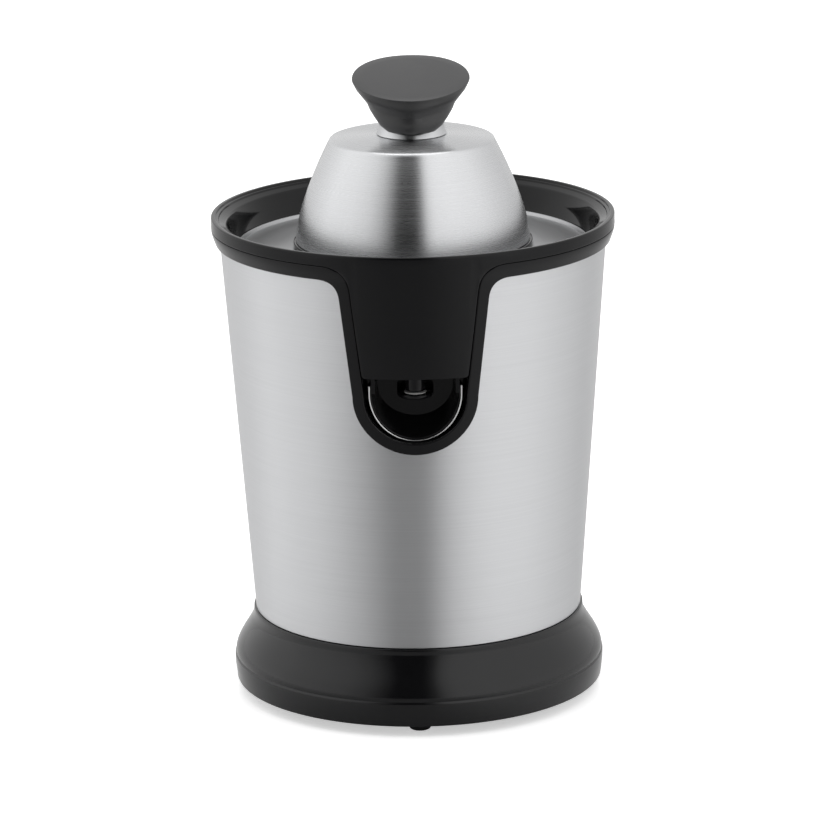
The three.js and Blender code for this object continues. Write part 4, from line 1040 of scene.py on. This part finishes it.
def make_stage():
    """Pale floor, soft studio light all round with a dark gap behind the camera, and the camera."""
    scene = bpy.context.scene
    bm = bmesh.new()
    bmesh.ops.create_circle(bm, cap_ends=True, segments=96, radius=14.0)
    mesh = mesh_from(bm, "studio_floor")
    floor = placed("studio_floor", mesh)
    material, tree, shader, place = blank("studio floor")
    speck = node_in(tree, "ShaderNodeTexNoise", {"Vector": place, "Scale": 30.0, "Detail": 2.0}).outputs[0]
    paper = mixed(tree, speck, shade(colour("floor"), 0.995), shade(colour("floor"), 1.005))
    spot = node_in(tree, "ShaderNodeSeparateXYZ", {0: place}).outputs
    ray = node_in(tree, "ShaderNodeLightPath").outputs
    # Painted reflection: glossy rays see the floor in the bearing-dependent grey of MIRRORED_FLOOR, and the
    # camera sees its plain colour.
    mirrored = round_ramp(tree, spot[0], spot[1], MIRRORED_FLOOR)
    tree.links.new(mixed(tree, ray["Is Glossy Ray"], paper, mirrored), shader.inputs["Base Color"])
    shader.inputs["Emission Color"].default_value = (1, 1, 1, 1)
    tree.links.new(maths(tree, "MULTIPLY", ray["Is Camera Ray"], 0.5), shader.inputs["Emission Strength"])
    shader.inputs["Roughness"].default_value = 0.32
    shader.inputs["Specular IOR Level"].default_value = 0.35
    mesh.materials.append(material)

    world = bpy.data.worlds.new("studio")
    scene.world = world
    world.use_nodes = True
    tree = world.node_tree
    sky = tree.nodes["Background"]
    ahead = node_in(tree, "ShaderNodeTexCoord").outputs["Generated"]
    at = node_in(tree, "ShaderNodeSeparateXYZ", {0: ahead}).outputs
    overhead = cut_off(tree, at[2], 0.82, 0.99)
    lit = mixed(tree, overhead, round_ramp(tree, at[0], at[1], STUDIO), (0.8, 0.8, 0.8, 1))
    tree.links.new(lit, sky.inputs["Color"])
    sky.inputs["Strength"].default_value = 1.35

    lamp = bpy.data.lights.new("overhead_softbox", "AREA")
    lamp.shape = "DISK"
    lamp.size = 2.4
    lamp.energy = 14
    placed("overhead_softbox", lamp).location = (0, 0.4, 2.8)

    lens = bpy.data.cameras.new("camera")
    lens.lens = 210.63
    lens.sensor_width = 36.0
    lens.clip_end = 60.0
    camera = placed("camera", lens)
    pitch, yaw, roll = math.radians(15.06), math.radians(-0.026), math.radians(-0.85)
    ahead = Vector((math.sin(yaw) * math.cos(pitch), math.cos(yaw) * math.cos(pitch), -math.sin(pitch)))
    side = Vector((math.cos(yaw), -math.sin(yaw), 0))
    up = side.cross(ahead)
    x_axis = math.cos(roll) * side + math.sin(roll) * up
    y_axis = -math.sin(roll) * side + math.cos(roll) * up
    turn = Matrix((x_axis, y_axis, -ahead)).transposed().to_4x4()
    camera.matrix_world = Matrix.Translation((0, -2.2, 0.7232)) @ turn
    scene.camera = camera
    scene.view_settings.view_transform = "Standard"


# ---------------------------------------------------------------- operators and panel
class JuicerBase(bpy.types.Operator):
    """Build the black base with its collar and skirt"""

    bl_idname = "juicer.base"
    bl_label = "Base"

    def execute(self, context):
        make_base()
        return {"FINISHED"}


class JuicerGland(bpy.types.Operator):
    """Build the rubber gland at the back"""

    bl_idname = "juicer.gland"
    bl_label = "Cable gland"

    def execute(self, context):
        make_gland()
        return {"FINISHED"}


class JuicerFeet(bpy.types.Operator):
    """Build the six rubber feet"""

    bl_idname = "juicer.feet"
    bl_label = "Feet"

    def execute(self, context):
        make_feet()
        return {"FINISHED"}


class JuicerSteel(bpy.types.Operator):
    """Build the tapered steel body"""

    bl_idname = "juicer.steel"
    bl_label = "Steel body"

    def execute(self, context):
        make_steel()
        return {"FINISHED"}


class JuicerTrim(bpy.types.Operator):
    """Build the black trim ring and front frame"""

    bl_idname = "juicer.trim"
    bl_label = "Trim and frame"

    def execute(self, context):
        make_trim()
        return {"FINISHED"}


class JuicerPocket(bpy.types.Operator):
    """Build the pocket behind the frame"""

    bl_idname = "juicer.pocket"
    bl_label = "Spout pocket"

    def execute(self, context):
        make_pocket()
        return {"FINISHED"}


class JuicerBowl(bpy.types.Operator):
    """Build the juice bowl with its bib and outlet"""

    bl_idname = "juicer.bowl"
    bl_label = "Juice bowl"

    def execute(self, context):
        make_bowl()
        return {"FINISHED"}


class JuicerSpout(bpy.types.Operator):
    """Build the tip-out spout, its strip and its pad"""

    bl_idname = "juicer.spout"
    bl_label = "Spout"

    def execute(self, context):
        make_spout()
        return {"FINISHED"}


class JuicerSieve(bpy.types.Operator):
    """Build the sieve and its hub"""

    bl_idname = "juicer.sieve"
    bl_label = "Sieve"

    def execute(self, context):
        make_sieve()
        return {"FINISHED"}


class JuicerCone(bpy.types.Operator):
    """Build the ribbed reamer cone"""

    bl_idname = "juicer.cone"
    bl_label = "Reamer cone"

    def execute(self, context):
        make_cone()
        return {"FINISHED"}


class JuicerDome(bpy.types.Operator):
    """Build the press dome and its liner"""

    bl_idname = "juicer.dome"
    bl_label = "Press dome"

    def execute(self, context):
        make_dome()
        return {"FINISHED"}


class JuicerKnob(bpy.types.Operator):
    """Build the neck and the palm knob"""

    bl_idname = "juicer.knob"
    bl_label = "Neck and knob"

    def execute(self, context):
        make_knob()
        return {"FINISHED"}


class JuicerSpring(bpy.types.Operator):
    """Build the coil spring under the drive shaft"""

    bl_idname = "juicer.spring"
    bl_label = "Return spring"

    def execute(self, context):
        make_spring()
        return {"FINISHED"}


class JuicerDrive(bpy.types.Operator):
    """Give the drive and other inner parts their finishes"""

    bl_idname = "juicer.drive"
    bl_label = "Drive finishes"

    def execute(self, context):
        finish_inner_parts()
        return {"FINISHED"}


class JuicerStage(bpy.types.Operator):
    """Build the floor, the studio light and the camera"""

    bl_idname = "juicer.stage"
    bl_label = "Stage"

    def execute(self, context):
        make_stage()
        return {"FINISHED"}


OPERATORS = (JuicerBase, JuicerGland, JuicerFeet, JuicerSteel, JuicerTrim, JuicerPocket, JuicerBowl,
             JuicerSpout, JuicerSieve, JuicerCone, JuicerDome, JuicerKnob, JuicerSpring, JuicerDrive,
             JuicerStage)


class JuicerPanel(bpy.types.Panel):
    """Lists the juicer's sizes, colours and pieces"""

    bl_idname = "VIEW3D_PT_juicer"
    bl_label = "Citrus press juicer"
    bl_space_type = "VIEW_3D"
    bl_region_type = "UI"
    bl_category = "Juicer"

    def draw(self, context):
        for settings in (context.scene.juicer_sizes, context.scene.juicer_colours):
            for name in settings.bl_rna.properties.keys():
                if name not in ("rna_type", "name"):
                    self.layout.prop(settings, name)
        for operator in OPERATORS:
            self.layout.operator(operator.bl_idname)


CLASSES = (JuicerSizes, JuicerColours, *OPERATORS, JuicerPanel)


def register():
    for cls in CLASSES:
        bpy.utils.register_class(cls)
    bpy.types.Scene.juicer_sizes = bpy.props.PointerProperty(type=JuicerSizes)
    bpy.types.Scene.juicer_colours = bpy.props.PointerProperty(type=JuicerColours)


def unregister():
    del bpy.types.Scene.juicer_colours
    del bpy.types.Scene.juicer_sizes
    for cls in reversed(CLASSES):
        bpy.utils.unregister_class(cls)


def main():
    """Builds everything in order and keeps the two boxes."""
    register()
    for operator in OPERATORS:
        group, name = operator.bl_idname.split(".")
        getattr(getattr(bpy.ops, group), name)()


if __name__ == "__main__":
    main()
